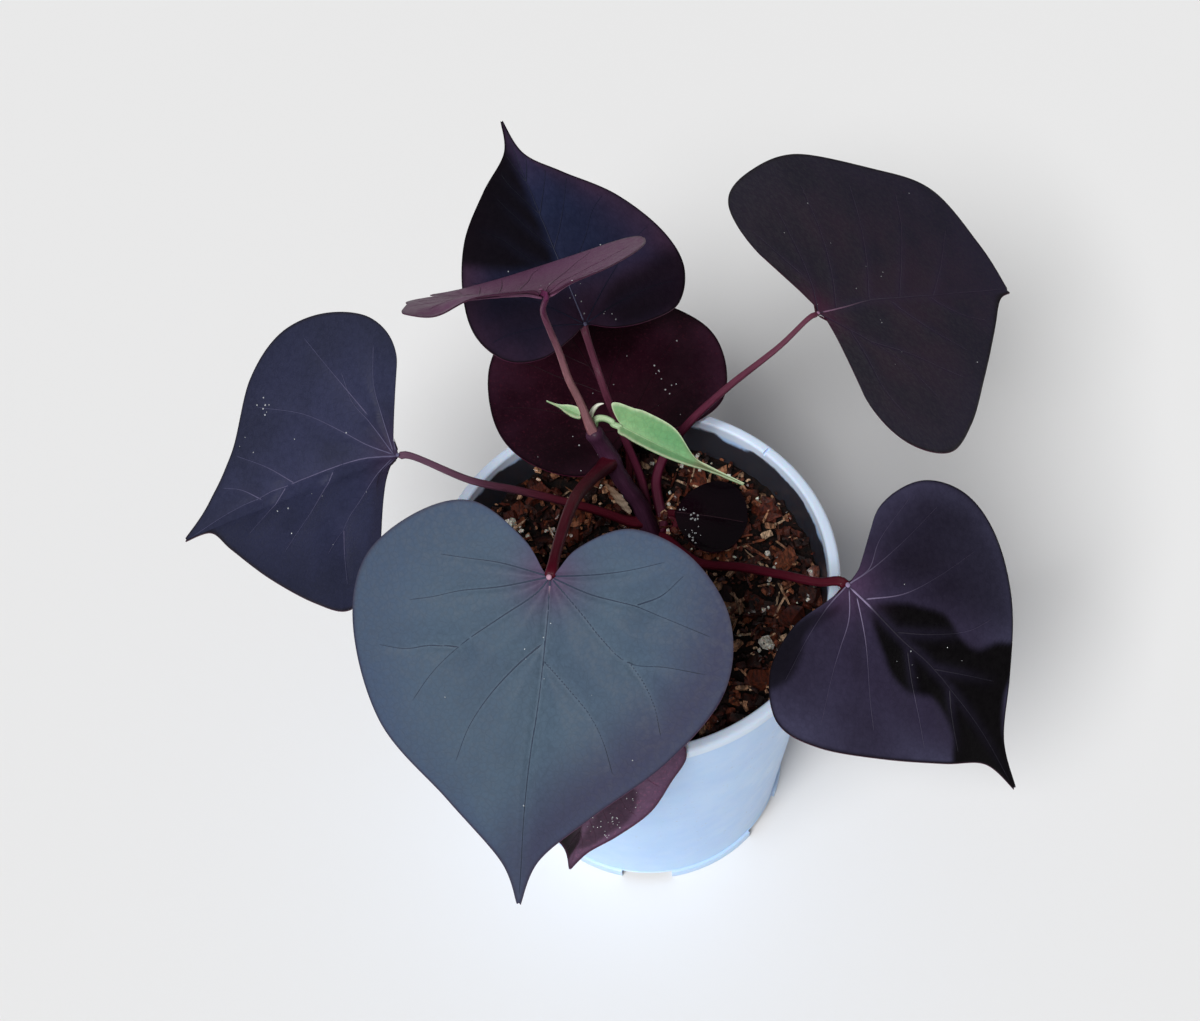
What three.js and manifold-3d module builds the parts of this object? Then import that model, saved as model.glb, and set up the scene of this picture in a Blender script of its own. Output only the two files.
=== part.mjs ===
// Sweet potato vine, a young dark-leaved plant in a 10 cm round nursery pot.
// Millimetres, +Z up. The origin is the middle of the pot's base, where it meets the table.
// The plant's front is -Y. Each leaf, leaf stalk, chip of bark and so on is a mesh of its own.

import * as THREE from 'three';
import { mergeVertices } from 'three/addons/utils/BufferGeometryUtils.js';
import Module from 'manifold-3d';

const wasm = await Module();
wasm.setup();

// ---------- driving dimensions ----------

const SEAT_GAP = 0.3;              // clearance between pieces that touch

const POT = {
  height: 105.5,
  rimRadius: 50,                   // outside of the rolled lip
  rimBand: 3.4,                    // height of the lip's outer band
  mouthRadius: 47.2,               // inside of the rim
  wallRadius: 37.1,                // outside of the wall at its lower end
  footRadius: 37.9,                // outside of the ring the pot stands on
  footHeight: 3.3,
  wall: 1.2,
  floor: 3.4,
  sides: 48,
};
const DRAIN = {
  count: 6,
  holeRadius: 4,
  ringRadius: 25,
  channelDepth: 2,                 // under the floor; outside, the foot ring is cut right through
  channelWidth: 14,
  firstAngle: -98,                 // degrees, so that one channel opens towards the front
};

const SOIL_TOP = 92;               // height of the potting mix at the pot wall
const SOIL_CROWN = 1.2;            // how much higher it is in the middle

const LEAF_THICKNESS = 0.8;
const LEAF_COLUMNS = 11;           // steps from the leaf's base round the lobe to its tip
const LEAF_ROWS = 3;               // steps from the midrib out to the margin
const STALK_SIDES = 8;
const STALK_REACH = 1.5;           // how far a stalk runs on under its blade

// ---------- colours ----------

const finish = (color, roughness) => new THREE.MeshStandardMaterial({ color, roughness, metalness: 0 });
const POT_PLASTIC = finish(0xcfe0f5, 0.45);
const MIX = finish(0x3a2418, 0.85);
const BARK = finish(0x7a4a2c, 0.7);
const PERLITE = finish(0xe8e2d6, 0.8);
const SLATE_LEAF = finish(0x4b5c70, 0.5);
const INDIGO_LEAF = finish(0x2d2d46, 0.5);
const PLUM_LEAF = finish(0x2b2336, 0.45);
const WINE_LEAF = finish(0x3a1a2c, 0.4);
const MAUVE_LEAF = finish(0x69445c, 0.6);
const GREEN_LEAF = finish(0x7fbf88, 0.5);
const STALK = finish(0x6a2a40, 0.5);
const YOUNG_STALK = finish(0xa07068, 0.5);
const DRY_SHEATH = finish(0xc0a48c, 0.7);

// ---------- leaf shapes ----------

// Half outlines of a blade, in leaf lengths: [along the midrib, out from it]. Ten stations:
// base notch, inner lobe, lobe top, shoulder, widest, belly, lower belly, waist, neck, tip.
const FRONT_LEFT = [[0, 0.015], [-0.1, 0.08], [-0.18, 0.23], [-0.13, 0.41], [0.03, 0.55],
  [0.24, 0.56], [0.47, 0.42], [0.68, 0.21], [0.85, 0.055], [1, 0.006]];
const FRONT_RIGHT = [[0, 0.015], [-0.1, 0.08], [-0.19, 0.25], [-0.13, 0.42], [0.03, 0.565],
  [0.25, 0.575], [0.51, 0.47], [0.71, 0.24], [0.87, 0.065], [1, 0.006]];
const INNER_LEFT = [[0.01, 0.015], [0.077, 0.067], [0.041, 0.28], [0.048, 0.475], [0.153, 0.57],
  [0.314, 0.492], [0.538, 0.32], [0.74, 0.134], [0.869, 0.014], [1, 0.006]];
const OUTER_LEFT = [[0, 0.015], [-0.003, 0.129], [-0.093, 0.337], [-0.025, 0.494], [0.162, 0.581],
  [0.373, 0.583], [0.543, 0.47], [0.694, 0.246], [0.853, 0.097], [1, 0.006]];
const REAR_LEFT = [[0, 0.015], [-0.042, 0.112], [-0.084, 0.291], [-0.041, 0.465], [0.104, 0.562],
  [0.296, 0.54], [0.516, 0.43], [0.704, 0.242], [0.851, 0.058], [1, 0.006]];
const REAR_RIGHT = [[0, 0.015], [-0.058, 0.133], [-0.081, 0.304], [-0.052, 0.484], [0.1, 0.586],
  [0.294, 0.55], [0.518, 0.398], [0.693, 0.186], [0.829, 0.04], [1, 0.006]];
const LOWER_LEFT = [[0, 0.015], [-0.084, 0.104], [-0.134, 0.282], [-0.049, 0.439], [0.119, 0.547],
  [0.309, 0.547], [0.536, 0.447], [0.715, 0.263], [0.859, 0.09], [1, 0.006]];
const LOWER_RIGHT = [[0, 0.015], [-0.068, 0.124], [-0.112, 0.306], [-0.061, 0.482], [0.115, 0.589],
  [0.308, 0.596], [0.517, 0.467], [0.692, 0.269], [0.84, 0.096], [1, 0.006]];
const BROAD_SIDE = [[0, 0.015], [0.02, 0.106], [-0.146, 0.216], [-0.164, 0.405], [0.054, 0.55],
  [0.353, 0.631], [0.684, 0.556], [0.913, 0.443], [0.986, 0.192], [1, 0.01]];
const NARROW_SIDE = [[0.03, 0.02], [0.043, 0.105], [-0.051, 0.331], [0.014, 0.49], [0.198, 0.549],
  [0.391, 0.464], [0.603, 0.304], [0.796, 0.145], [0.93, 0.03], [1, 0.01]];
const FORE_LEFT = [[0, 0.015], [-0.022, 0.113], [-0.103, 0.288], [-0.05, 0.48], [0.108, 0.585],
  [0.3, 0.575], [0.517, 0.454], [0.694, 0.261], [0.84, 0.084], [1, 0.006]];
const FORE_RIGHT = [[0, 0.015], [-0.028, 0.119], [-0.066, 0.283], [-0.031, 0.461], [0.1, 0.566],
  [0.274, 0.513], [0.493, 0.354], [0.699, 0.175], [0.842, 0.038], [1, 0.006]];
const YOUNG_LEFT = [[0, 0.015], [-0.1, 0.08], [-0.174, 0.25], [-0.117, 0.428], [0.097, 0.534],
  [0.133, 0.557], [0.507, 0.36], [0.688, 0.271], [0.85, 0.055], [1, 0.006]];
const YOUNG_RIGHT = [[0, 0.015], [-0.1, 0.08], [-0.183, 0.216], [-0.104, 0.445], [0.088, 0.575],
  [0.23, 0.6], [0.513, 0.413], [0.739, 0.209], [0.87, 0.065], [1, 0.006]];
const HANGING_LEFT = [[0, 0.015], [-0.065, 0.112], [-0.107, 0.291], [-0.063, 0.468], [0.077, 0.569],
  [0.259, 0.511], [0.497, 0.419], [0.692, 0.248], [0.852, 0.086], [1, 0.006]];
const ROUND_SIDE = [[0, 0.015], [-0.05, 0.12], [-0.09, 0.3], [-0.04, 0.48], [0.11, 0.59],
  [0.29, 0.57], [0.5, 0.44], [0.68, 0.25], [0.83, 0.08], [1, 0.006]];
const BLUNT_SIDE = [[0, 0.012], [0.04, 0.12], [0.1, 0.24], [0.2, 0.36], [0.34, 0.47],
  [0.5, 0.54], [0.68, 0.53], [0.85, 0.42], [0.96, 0.22], [1, 0.012]];
const GREEN_LEFT = [[0, 0.015], [-0.06, 0.04], [-0.134, 0.105], [-0.097, 0.141], [0.021, 0.16],
  [0.131, 0.18], [0.366, 0.165], [0.58, 0.04], [0.72, 0.022], [1, 0.008]];
const GREEN_RIGHT = [[0, 0.015], [-0.02, 0.03], [-0.01, 0.05], [0, 0.07], [0.05, 0.07],
  [0.15, 0.078], [0.376, 0.072], [0.545, 0.051], [0.72, 0.02], [1, 0.008]];
const LONG_TAILED = [[0, 0.015], [-0.03, 0.04], [-0.06, 0.08], [-0.04, 0.12], [0.05, 0.155],
  [0.2, 0.165], [0.4, 0.125], [0.56, 0.06], [0.72, 0.022], [1, 0.008]];

// Where the columns that run out to those stations leave the midrib.
const RIB_STATIONS = [0.01, 0.02, 0.03, 0.06, 0.14, 0.28, 0.47, 0.66, 0.84, 0.995];

// at: where the stalk meets the blade. along: the midrib's direction. facing: the upper side's normal.
// arch bends the midrib down, droop bends each half down and sway bends the midrib to the leaf's
// left, all in leaf lengths. fold lifts both halves from the midrib, in radians.
const LEAVES = [
  { name: 'leaf_front', finish: SLATE_LEAF, left: FRONT_LEFT, right: FRONT_RIGHT,
    at: [-19, -24.6, 148.4], along: [-0.239, -0.75, -0.617], facing: [-0.253, -0.566, 0.785],
    length: 74.1, arch: 0.11, droop: [0.14, 0.17], sway: 0.02, fold: 0.06 },
  { name: 'leaf_left', finish: INDIGO_LEAF, left: INNER_LEFT, right: OUTER_LEFT,
    at: [-52.1, 20.7, 136.4], along: [-0.874, 0.068, -0.481], facing: [-0.486, -0.131, 0.864],
    length: 68.2, arch: 0.05, droop: [0.19, -0.08], sway: -0.01, fold: 0.23 },
  { name: 'leaf_rear', finish: INDIGO_LEAF, left: REAR_LEFT, right: REAR_RIGHT,
    at: [-4.7, 54.3, 135], along: [-0.269, 0.81, 0.52], facing: [0.459, -0.367, 0.809],
    length: 54.4, arch: 0.05, droop: [0.12, 0.1], sway: -0.01, fold: 0.1 },
  { name: 'leaf_rear_lower', finish: WINE_LEAF, left: LOWER_LEFT, right: LOWER_RIGHT,
    at: [3, 39.9, 109], along: [-0.384, 0.899, 0.209], facing: [0.163, -0.157, 0.974],
    length: 55, arch: 0.09, droop: [0.05, 0.1], sway: 0, fold: 0.08 },
  { name: 'leaf_right_rear', finish: PLUM_LEAF, left: BROAD_SIDE, right: NARROW_SIDE,
    at: [51.4, 45.3, 140], along: [0.695, 0.391, -0.604], facing: [0.633, 0.067, 0.771],
    length: 78.5, arch: -0.19, droop: [0.15, 0.18], sway: 0.02, fold: 0.08 },
  { name: 'leaf_right_front', finish: PLUM_LEAF, left: FORE_LEFT, right: FORE_RIGHT,
    at: [48.7, -17.9, 118], along: [0.575, -0.562, -0.595], facing: [0.43, -0.412, 0.803],
    length: 66.7, arch: 0.1, droop: [0.13, 0.13], sway: -0.02, fold: 0.09 },
  { name: 'leaf_young', finish: MAUVE_LEAF, left: YOUNG_LEFT, right: YOUNG_RIGHT,
    at: [-13.3, 21.8, 188.5], along: [-0.521, 0.557, -0.647], facing: [-0.067, 0.729, 0.681],
    length: 51.9, arch: -0.03, droop: [0.27, -0.32], sway: -0.01, fold: 0.1 },
  { name: 'leaf_trailing', finish: MAUVE_LEAF, left: HANGING_LEFT, right: ROUND_SIDE,
    at: [-11.7, -47.2, 114.9], along: [-0.298, -0.656, -0.693], facing: [0.162, -0.75, 0.641],
    length: 36, arch: 0.3, droop: [0.19, 0.16], sway: 0, fold: 0.02 },
  { name: 'leaf_low', finish: WINE_LEAF, left: BLUNT_SIDE, right: BLUNT_SIDE,
    at: [12.4, 20.7, 97.6], along: [0.945, -0.31, 0.1], facing: [-0.1, -0.05, 0.99],
    length: 18.6, arch: 0.25, droop: [0.3, 0.3], sway: 0, fold: 0.12 },
  { name: 'leaf_green', finish: GREEN_LEAF, left: GREEN_LEFT, right: GREEN_RIGHT,
    at: [1, 26.6, 129.3], along: [0.819, -0.398, -0.414], facing: [0.336, -0.261, 0.905],
    length: 32.9, arch: -0.11, droop: [0.23, 0.07], sway: 0.02, fold: 0.23 },
  { name: 'leaf_tiny', finish: GREEN_LEAF, left: LONG_TAILED, right: LONG_TAILED,
    at: [-8.6, 30.6, 130.5], along: [-0.87, 0.38, 0.3], facing: [0.2, -0.3, 0.93],
    length: 8.6, arch: 0, droop: [0, 0], sway: 0, fold: 0.3 },
];

// ---------- stems and stalks ----------

// Each route starts at its lower end. A stalk that carries a leaf goes on to end under its blade.
const STEMS = [
  { name: 'main_stem', radius: 2.3, finish: STALK,
    route: [[7.2, 15.8, 80], [7, 16.2, 90], [5.2, 18.3, 97], [3.7, 20.5, 103], [-0.1, 23.3, 111],
      [-3.4, 27.3, 119], [-6.2, 28.7, 126.5]] },
  { name: 'stalk_front', radius: 1.6, finish: STALK, carries: 'leaf_front',
    route: [[-4, 23, 117], [-7.5, 15.3, 125], [-12, 2.5, 136], [-16, -12.5, 144]] },
  { name: 'stalk_left', radius: 1.1, finish: STALK, carries: 'leaf_left',
    route: [[1.4, 17.9, 99], [-6.4, 17.4, 107], [-13.5, 17, 113], [-25, 16.9, 121], [-36.1, 16.5, 128.5]] },
  { name: 'stalk_rear', radius: 1.1, finish: STALK, carries: 'leaf_rear',
    route: [[5.4, 22.8, 99.5], [4.8, 27.6, 104], [1.9, 33.8, 113], [-0.9, 38.5, 122], [-2.7, 43.5, 128]] },
  { name: 'stalk_rear_lower', radius: 1, finish: STALK, carries: 'leaf_rear_lower',
    route: [[2.9, 22.7, 99.5], [1.9, 27.5, 102], [2.4, 32, 104.5], [2.9, 36.4, 106]] },
  { name: 'stalk_right_rear', radius: 1.4, finish: STALK, carries: 'leaf_right_rear',
    route: [[9.1, 19.7, 94.6], [8.6, 24.5, 98], [8.8, 28.5, 102], [12.5, 32.9, 108], [18.5, 35.5, 115],
      [28.1, 37.3, 125], [41.5, 40.9, 134.5]] },
  { name: 'stalk_right_front', radius: 1.2, finish: STALK, carries: 'leaf_right_front',
    route: [[9.1, 14.7, 94.5], [16.5, 1.9, 102.5], [25.5, -4.1, 108.5], [34.2, -10, 113],
      [42.8, -14.9, 115.6]] },
  { name: 'stalk_young', radius: 1, finish: YOUNG_STALK, carries: 'leaf_young',
    route: [[-6.4, 28.7, 127.1], [-8.1, 28.7, 138], [-10, 27.9, 148], [-11.4, 27.1, 160],
      [-12.7, 25.4, 170], [-13.6, 23, 180]] },
  { name: 'stalk_trailing', radius: 1, finish: STALK, carries: 'leaf_trailing',
    route: [[5.4, 12.6, 94.4], [2, -5, 100], [-4, -26, 107], [-9.5, -40, 112]] },
  { name: 'stalk_low', radius: 0.8, finish: STALK, carries: 'leaf_low',
    route: [[11, 17, 94.2], [12.4, 18.6, 95.2]] },
  { name: 'stalk_green', radius: 0.7, finish: GREEN_LEAF, carries: 'leaf_green',
    route: [[-4.2, 30.1, 128.1], [-2.7, 29.1, 129.2], [-1, 27.9, 129.2]] },
  { name: 'bud', radius: 0.5, finish: GREEN_LEAF,
    route: [[-6, 30.6, 127.8], [-5.2, 31.4, 130.3], [-3.9, 31.6, 132], [-2.6, 31.3, 132.8]] },
  { name: 'sheath', radius: 0.5, finish: DRY_SHEATH,
    route: [[0.3, 18.2, 104.2], [-1.8, 20.6, 108.3], [-4.2, 22.6, 111]] },
];

// ---------- bark and perlite on the mix ----------

// [x, y, length, width, height, turn in degrees]
const CHIPS = [
  [-22, 33, 8, 5, 3, 20], [-34, 14, 7, 5, 3, 70], [-25, -4, 9, 5, 3.5, 130], [-14, -24, 8, 6, 3, 40],
  [8, -34, 9, 5, 3, 100], [27, -28, 8, 5, 3, 15], [37, -12, 9, 6, 3.5, 60], [36, 20, 8, 5, 3, 150],
  [20, 33, 8, 5, 3, 95], [38, 4, 7, 5, 3, 25], [17, -16, 7, 5, 3, 170], [-8, 38, 8, 5, 3, 55],
];
const PERLITE_GRAINS = [[30, -18, 1.7], [-30, 24, 1.5], [14, 42, 1.6]];

// ---------- helpers ----------

const vector = (p) => new THREE.Vector3(...p);
const flatCurve = (points) => new THREE.SplineCurve(points.map((p) => new THREE.Vector2(...p)));

function node(name, geometry, material) {
  const mesh = new THREE.Mesh(geometry, material);
  mesh.name = name;
  return mesh;
}

// Keeps only welded positions, as a closed body needs.
function weld(geometry) {
  const bare = geometry.clone();
  for (const key of Object.keys(bare.attributes)) {
    if (key !== 'position') bare.deleteAttribute(key);
  }
  return mergeVertices(bare, 1e-4);
}

function toSolid(geometry) {
  const bare = weld(geometry);
  const vertProperties = new Float32Array(bare.attributes.position.array);
  const triVerts = new Uint32Array(bare.index.array);
  return new wasm.Manifold(new wasm.Mesh({ numProp: 3, vertProperties, triVerts }));
}

function fromSolid(solid) {
  const { vertProperties, triVerts } = solid.getMesh();
  const geometry = new THREE.BufferGeometry();
  geometry.setAttribute('position', new THREE.BufferAttribute(vertProperties, 3));
  geometry.setIndex(new THREE.BufferAttribute(triVerts, 1));
  geometry.computeVertexNormals();
  return geometry;
}

// A lathe about Z of [radius, height] points that start and end on the axis, lower end first.
function turned(profile, sides) {
  const geometry = new THREE.LatheGeometry(profile.map((p) => new THREE.Vector2(...p)), sides);
  geometry.rotateX(Math.PI / 2);
  return geometry;
}

// A round rod along a smooth route.
function rod(route, radius) {
  const path = new THREE.CatmullRomCurve3(route.map(vector), false, 'centripetal');
  const section = new THREE.Shape().absarc(0, 0, radius, 0, 2 * Math.PI);
  const steps = Math.max(6, Math.round(path.getLength() / (4 * radius)));
  return new THREE.ExtrudeGeometry(section,
    { extrudePath: path, steps, curveSegments: STALK_SIDES / 2, bevelEnabled: false });
}

// ---------- the pot ----------

function makePot() {
  const { height, rimRadius, rimBand, mouthRadius, wall, floor, sides } = POT;
  const { wallRadius, footRadius, footHeight } = POT;
  const lipUnder = height - rimBand;
  const edge = 0.8;                // rounding of the lip's corners
  const footEdge = 0.4;            // and of the foot's
  const outer = [
    [0, 0], [footRadius - footEdge, 0], [footRadius, footEdge], [footRadius, footHeight - footEdge],
    [wallRadius, footHeight + footEdge], [mouthRadius + wall - 0.2, lipUnder - edge],
  ];
  const lip = [
    [rimRadius - 0.3, lipUnder], [rimRadius, lipUnder + edge], [rimRadius, height - edge],
    [rimRadius - edge, height], [mouthRadius + edge, height], [mouthRadius, height - edge],
  ];
  const inner = [
    [mouthRadius - 0.2, lipUnder - edge], [wallRadius - wall + 0.3, floor + 1],
    [wallRadius - wall - 0.7, floor], [0, floor],
  ];
  const body = toSolid(turned([...outer, ...lip, ...inner], sides));
  let pot = body;
  for (let i = 0; i < DRAIN.count; i += 1) {
    const angle = THREE.MathUtils.degToRad(DRAIN.firstAngle + (i * 360) / DRAIN.count);
    const hole = new THREE.CylinderGeometry(DRAIN.holeRadius, DRAIN.holeRadius, 3 * floor, 12);
    hole.rotateX(Math.PI / 2).translate(DRAIN.ringRadius, 0, 0);
    const gapStart = wallRadius - wall;
    const reach = gapStart - DRAIN.ringRadius;
    const channel = new THREE.BoxGeometry(reach, DRAIN.channelWidth, 2 * DRAIN.channelDepth);
    channel.translate(DRAIN.ringRadius + reach / 2, 0, 0);
    const gap = new THREE.BoxGeometry(2 * wall + 2, DRAIN.channelWidth, 2 * footHeight);
    gap.translate(gapStart + wall + 0.9, 0, 0);
    for (const cutter of [hole, channel, gap]) {
      pot = pot.subtract(toSolid(cutter.rotateZ(angle)));
    }
  }
  return node('pot', fromSolid(pot), POT_PLASTIC);
}

// ---------- the potting mix ----------

const soilHeight = (radius) => SOIL_TOP + SOIL_CROWN * (1 - (radius / POT.mouthRadius) ** 2);

// Radius of the pot's inside at a height.
function insideRadius(z) {
  const low = POT.wallRadius - POT.wall + 0.3;
  const high = POT.mouthRadius - 0.2;
  const top = POT.height - POT.rimBand;
  return low + ((high - low) * (z - POT.floor)) / (top - POT.floor);
}

function makeMix(stem) {
  const bottom = POT.floor + SEAT_GAP;
  const edge = insideRadius(SOIL_TOP) - SEAT_GAP - 0.2;
  const profile = [[0, bottom], [insideRadius(bottom) - 1.5, bottom], [edge, SOIL_TOP]];
  for (const share of [0.75, 0.45]) {
    profile.push([edge * share, soilHeight(edge * share)]);
  }
  profile.push([0, soilHeight(0)]);
  const socket = toSolid(rod(stem.route.map(([x, y, z]) => [x, y, z < 85 ? z - SEAT_GAP : z]),
    stem.radius + SEAT_GAP + 0.1));
  return node('potting_mix', fromSolid(toSolid(turned(profile, POT.sides)).subtract(socket)), MIX);
}

// ---------- leaves ----------

// Follows a strip that leaves at an angle and curls down as it goes: [distance out, height].
function curledStrip(distance, angle, curl) {
  const k = Math.abs(curl) < 1e-6 ? 1e-6 : curl;
  const turn = angle - k * distance;
  return [(Math.sin(angle) - Math.sin(turn)) / k, (Math.cos(turn) - Math.cos(angle)) / k];
}

// A blade's own axes: along its midrib, to its left, and out of its upper side.
function leafAxes({ along, facing }) {
  const forward = vector(along).normalize();
  const up = vector(facing).projectOnPlane(forward).normalize();
  return { forward, toLeft: up.clone().cross(forward), up };
}

// A thin closed blade, made by mapping a flat box: its length runs from the leaf's base round to
// the tip, and its width from the left margin over the midrib to the right one.
function makeLeaf(leaf) {
  const { length, arch, droop, sway, fold } = leaf;
  const outlines = [leaf.left, leaf.right].map(flatCurve);
  const rib = flatCurve(RIB_STATIONS.map((u) => [u, 0]));
  const blade = new THREE.BoxGeometry(2, 1, 1, 2 * LEAF_ROWS, LEAF_COLUMNS, 1);
  const place = blade.attributes.position;
  for (let i = 0; i < place.count; i += 1) {
    const side = place.getX(i) < 0 ? 0 : 1;
    const share = Math.abs(place.getX(i));
    const column = place.getY(i) + 0.5;
    const margin = outlines[side].getPoint(column);
    const u = THREE.MathUtils.lerp(rib.getPoint(column).x, margin.x, share);
    const [forward, dip] = curledStrip(u * length, 0, arch / length);
    const [out, rise] = curledStrip(margin.y * share * length, fold, droop[side] / length);
    const bend = sway * Math.max(0, u) ** 2 * length;
    place.setXYZ(i, forward, bend + (side === 0 ? out : -out), dip + rise + place.getZ(i) * LEAF_THICKNESS);
  }
  const mesh = node(leaf.name, weld(blade), leaf.finish);
  mesh.geometry.computeVertexNormals();
  const { forward, toLeft, up } = leafAxes(leaf);
  mesh.quaternion.setFromRotationMatrix(new THREE.Matrix4().makeBasis(forward, toLeft, up));
  mesh.position.set(...leaf.at);
  return mesh;
}

// A stem, or a stalk that runs on to just under the blade it carries.
function makeStem({ name, route, radius, carries, finish: material }) {
  const points = [...route];
  if (carries) {
    const leaf = LEAVES.find((entry) => entry.name === carries);
    const { forward, up } = leafAxes(leaf);
    const end = vector(leaf.at).addScaledVector(forward, STALK_REACH);
    end.addScaledVector(up, -(LEAF_THICKNESS / 2 + SEAT_GAP + radius));
    points.push(end.toArray());
  }
  return node(name, weld(rod(points, radius)), material);
}

// ---------- bits on the mix ----------

function makeChip([x, y, length, width, height, turn], index) {
  const block = new THREE.CylinderGeometry(0.42, 0.5, 1, 6);
  block.rotateX(Math.PI / 2).scale(length, width, height);
  const mesh = node(`bark_chip_${index + 1}`, weld(block), BARK);
  mesh.position.set(x, y, soilHeight(Math.hypot(x, y) - length / 2) + SEAT_GAP + height / 2);
  mesh.rotation.z = THREE.MathUtils.degToRad(turn);
  return mesh;
}

function makeGrain([x, y, radius], index) {
  const mesh = node(`perlite_${index + 1}`, weld(new THREE.IcosahedronGeometry(radius, 0)), PERLITE);
  mesh.position.set(x, y, soilHeight(Math.hypot(x, y)) + SEAT_GAP + radius);
  return mesh;
}

// ---------- the whole ----------

const potted = new THREE.Group();
potted.add(makePot(), makeMix(STEMS[0]), ...CHIPS.map(makeChip), ...PERLITE_GRAINS.map(makeGrain));

const plant = new THREE.Group();
plant.add(...STEMS.map(makeStem));
plant.add(...LEAVES.map(makeLeaf));

const vine = new THREE.Group();
vine.add(potted, plant);

export default vine;
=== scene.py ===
# %% [markdown]
# # A sweet potato vine in its pot
#
# This lesson makes the visible surfaces of a young, dark-leaved sweet potato vine. The sizes and
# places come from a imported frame, in metres, with the pot's base at the origin and +Z up.
# Every piece is made where it belongs, so its object stays at the origin, unturned.

# %% Load the frame
import math
import random

import bmesh
import bpy
import numpy as np
from mathutils import Matrix, Vector


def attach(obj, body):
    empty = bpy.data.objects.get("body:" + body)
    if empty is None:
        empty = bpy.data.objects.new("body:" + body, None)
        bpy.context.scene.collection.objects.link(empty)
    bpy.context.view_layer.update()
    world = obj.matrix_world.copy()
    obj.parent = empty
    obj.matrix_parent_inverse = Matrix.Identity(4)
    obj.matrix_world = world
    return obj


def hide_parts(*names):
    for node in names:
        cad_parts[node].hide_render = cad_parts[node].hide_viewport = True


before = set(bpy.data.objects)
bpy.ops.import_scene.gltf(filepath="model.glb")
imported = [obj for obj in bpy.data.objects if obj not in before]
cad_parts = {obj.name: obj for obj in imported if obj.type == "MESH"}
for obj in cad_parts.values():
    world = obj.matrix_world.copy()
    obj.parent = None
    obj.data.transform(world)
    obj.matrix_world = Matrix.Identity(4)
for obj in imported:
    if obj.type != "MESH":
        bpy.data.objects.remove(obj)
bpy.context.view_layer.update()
MM = 0.001

# %% [markdown]
# ## From mesh to piece
#
# Each piece ends the same way: its mesh goes into an object, it is shaded smooth up to a sharp
# angle, it rides on the one body, and the frame's nodes that it stands for are hidden. One helper
# does that for all of them. A bmesh can be edited but not seen, so two smaller helpers turn it
# into a mesh and put an object with that mesh into the scene.

# %% Finish a piece
def mesh_from(name, bm):
    mesh = bpy.data.meshes.new(name)
    bm.to_mesh(mesh)
    bm.free()
    return mesh


def put_in_scene(name, data):
    item = bpy.data.objects.new(name, data)
    bpy.context.scene.collection.objects.link(item)
    return item


def finish_piece(name, bm, materials, nodes=(), sharp=50):
    mesh = mesh_from(name, bm)
    for material in materials:
        mesh.materials.append(material)
    mesh.shade_smooth()
    mesh.set_sharp_from_angle(angle=math.radians(sharp))
    piece = put_in_scene(name, mesh)
    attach(piece, "root")
    if nodes:
        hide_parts(*nodes)
    triangles = sum(len(face.vertices) - 2 for face in mesh.polygons)
    print(f"{name}: {triangles} triangles")
    return piece


# %% [markdown]
# ## Curves to build on
#
# Stalks and veins follow smooth curves through a few points. A centripetal Catmull-Rom curve
# passes through every point without loops, so a route can be written down as it is measured.
# The halves of a leaf use the plain kind, through evenly numbered stations.

# %% Smooth routes
SAMPLES_PER_SPAN = 16


def smooth_route(points, count):
    """Evenly spaced places on a smooth curve through all the points."""
    p = np.array(points, float)
    p = np.vstack([2 * p[0] - p[1], p, 2 * p[-1] - p[-2]])
    dense = []
    for a, b, c, d in zip(p, p[1:], p[2:], p[3:]):
        ab, bc, cd = (max(np.linalg.norm(q) ** 0.5, 1e-6) for q in (b - a, c - b, d - c))
        out_b = bc * ((b - a) / ab - (c - a) / (ab + bc) + (c - b) / bc)
        into_c = bc * ((c - b) / bc - (d - b) / (bc + cd) + (d - c) / cd)
        t = np.linspace(0, 1, SAMPLES_PER_SPAN, endpoint=False)[:, None]
        dense.append(b + out_b * t + (3 * (c - b) - 2 * out_b - into_c) * t**2
                     + (2 * (b - c) + out_b + into_c) * t**3)
    dense = np.vstack([*dense, p[-2]])
    run = np.concatenate([[0], np.cumsum(np.linalg.norm(np.diff(dense, axis=0), axis=1))])
    even = np.linspace(0, run[-1], count)
    return np.stack([np.interp(even, run, dense[:, k]) for k in range(p.shape[1])], 1)


def through_stations(stations, t):
    """Places at t, from 0 to 1, on a curve that reaches its stations at equal steps of t."""
    p = np.array(stations, float)
    last = len(p) - 1
    s = np.clip(t, 0, 1) * last
    i = np.minimum(s.astype(int), last - 1)
    w = (s - i)[:, None]
    a, b, c, d = p[np.maximum(i - 1, 0)], p[i], p[i + 1], p[np.minimum(i + 2, last)]
    return (b + (c - a) / 2 * w + (a - 2.5 * b + 2 * c - d / 2) * w**2
            + (1.5 * (b - c) + (d - a) / 2) * w**3)


def unit(v):
    v = np.asarray(v, float)
    return v / np.maximum(np.linalg.norm(v, axis=-1, keepdims=True), 1e-12)


print("a straight route of 10 mm has its middle at", smooth_route([[0, 0, 0], [10, 0, 0]], 3)[1])

# %% [markdown]
# ## Colours and node helpers
#
# Colours are easiest to name as they look on a screen, but Blender mixes light, so `paint` turns
# screen values from 0 to 255 into linear ones. The small helpers below add a node, set its
# sockets and link it, which keeps each material's recipe short enough to read. `toned`
# multiplies a colour by a grey, which is how grain and mottling get into it.

# %% Paint
def paint(red, green, blue):
    linear = []
    for value in (red, green, blue):
        c = value / 255
        linear.append(c / 12.92 if c <= 0.04045 else ((c + 0.055) / 1.055) ** 2.4)
    return (*linear, 1)


print("a mid grey in linear light:", round(paint(128, 128, 128)[0], 3))


# %% Add and link nodes
def set_socket(links, socket, value):
    if isinstance(value, bpy.types.NodeSocket):
        links.new(value, socket)
    else:
        socket.default_value = value


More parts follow.
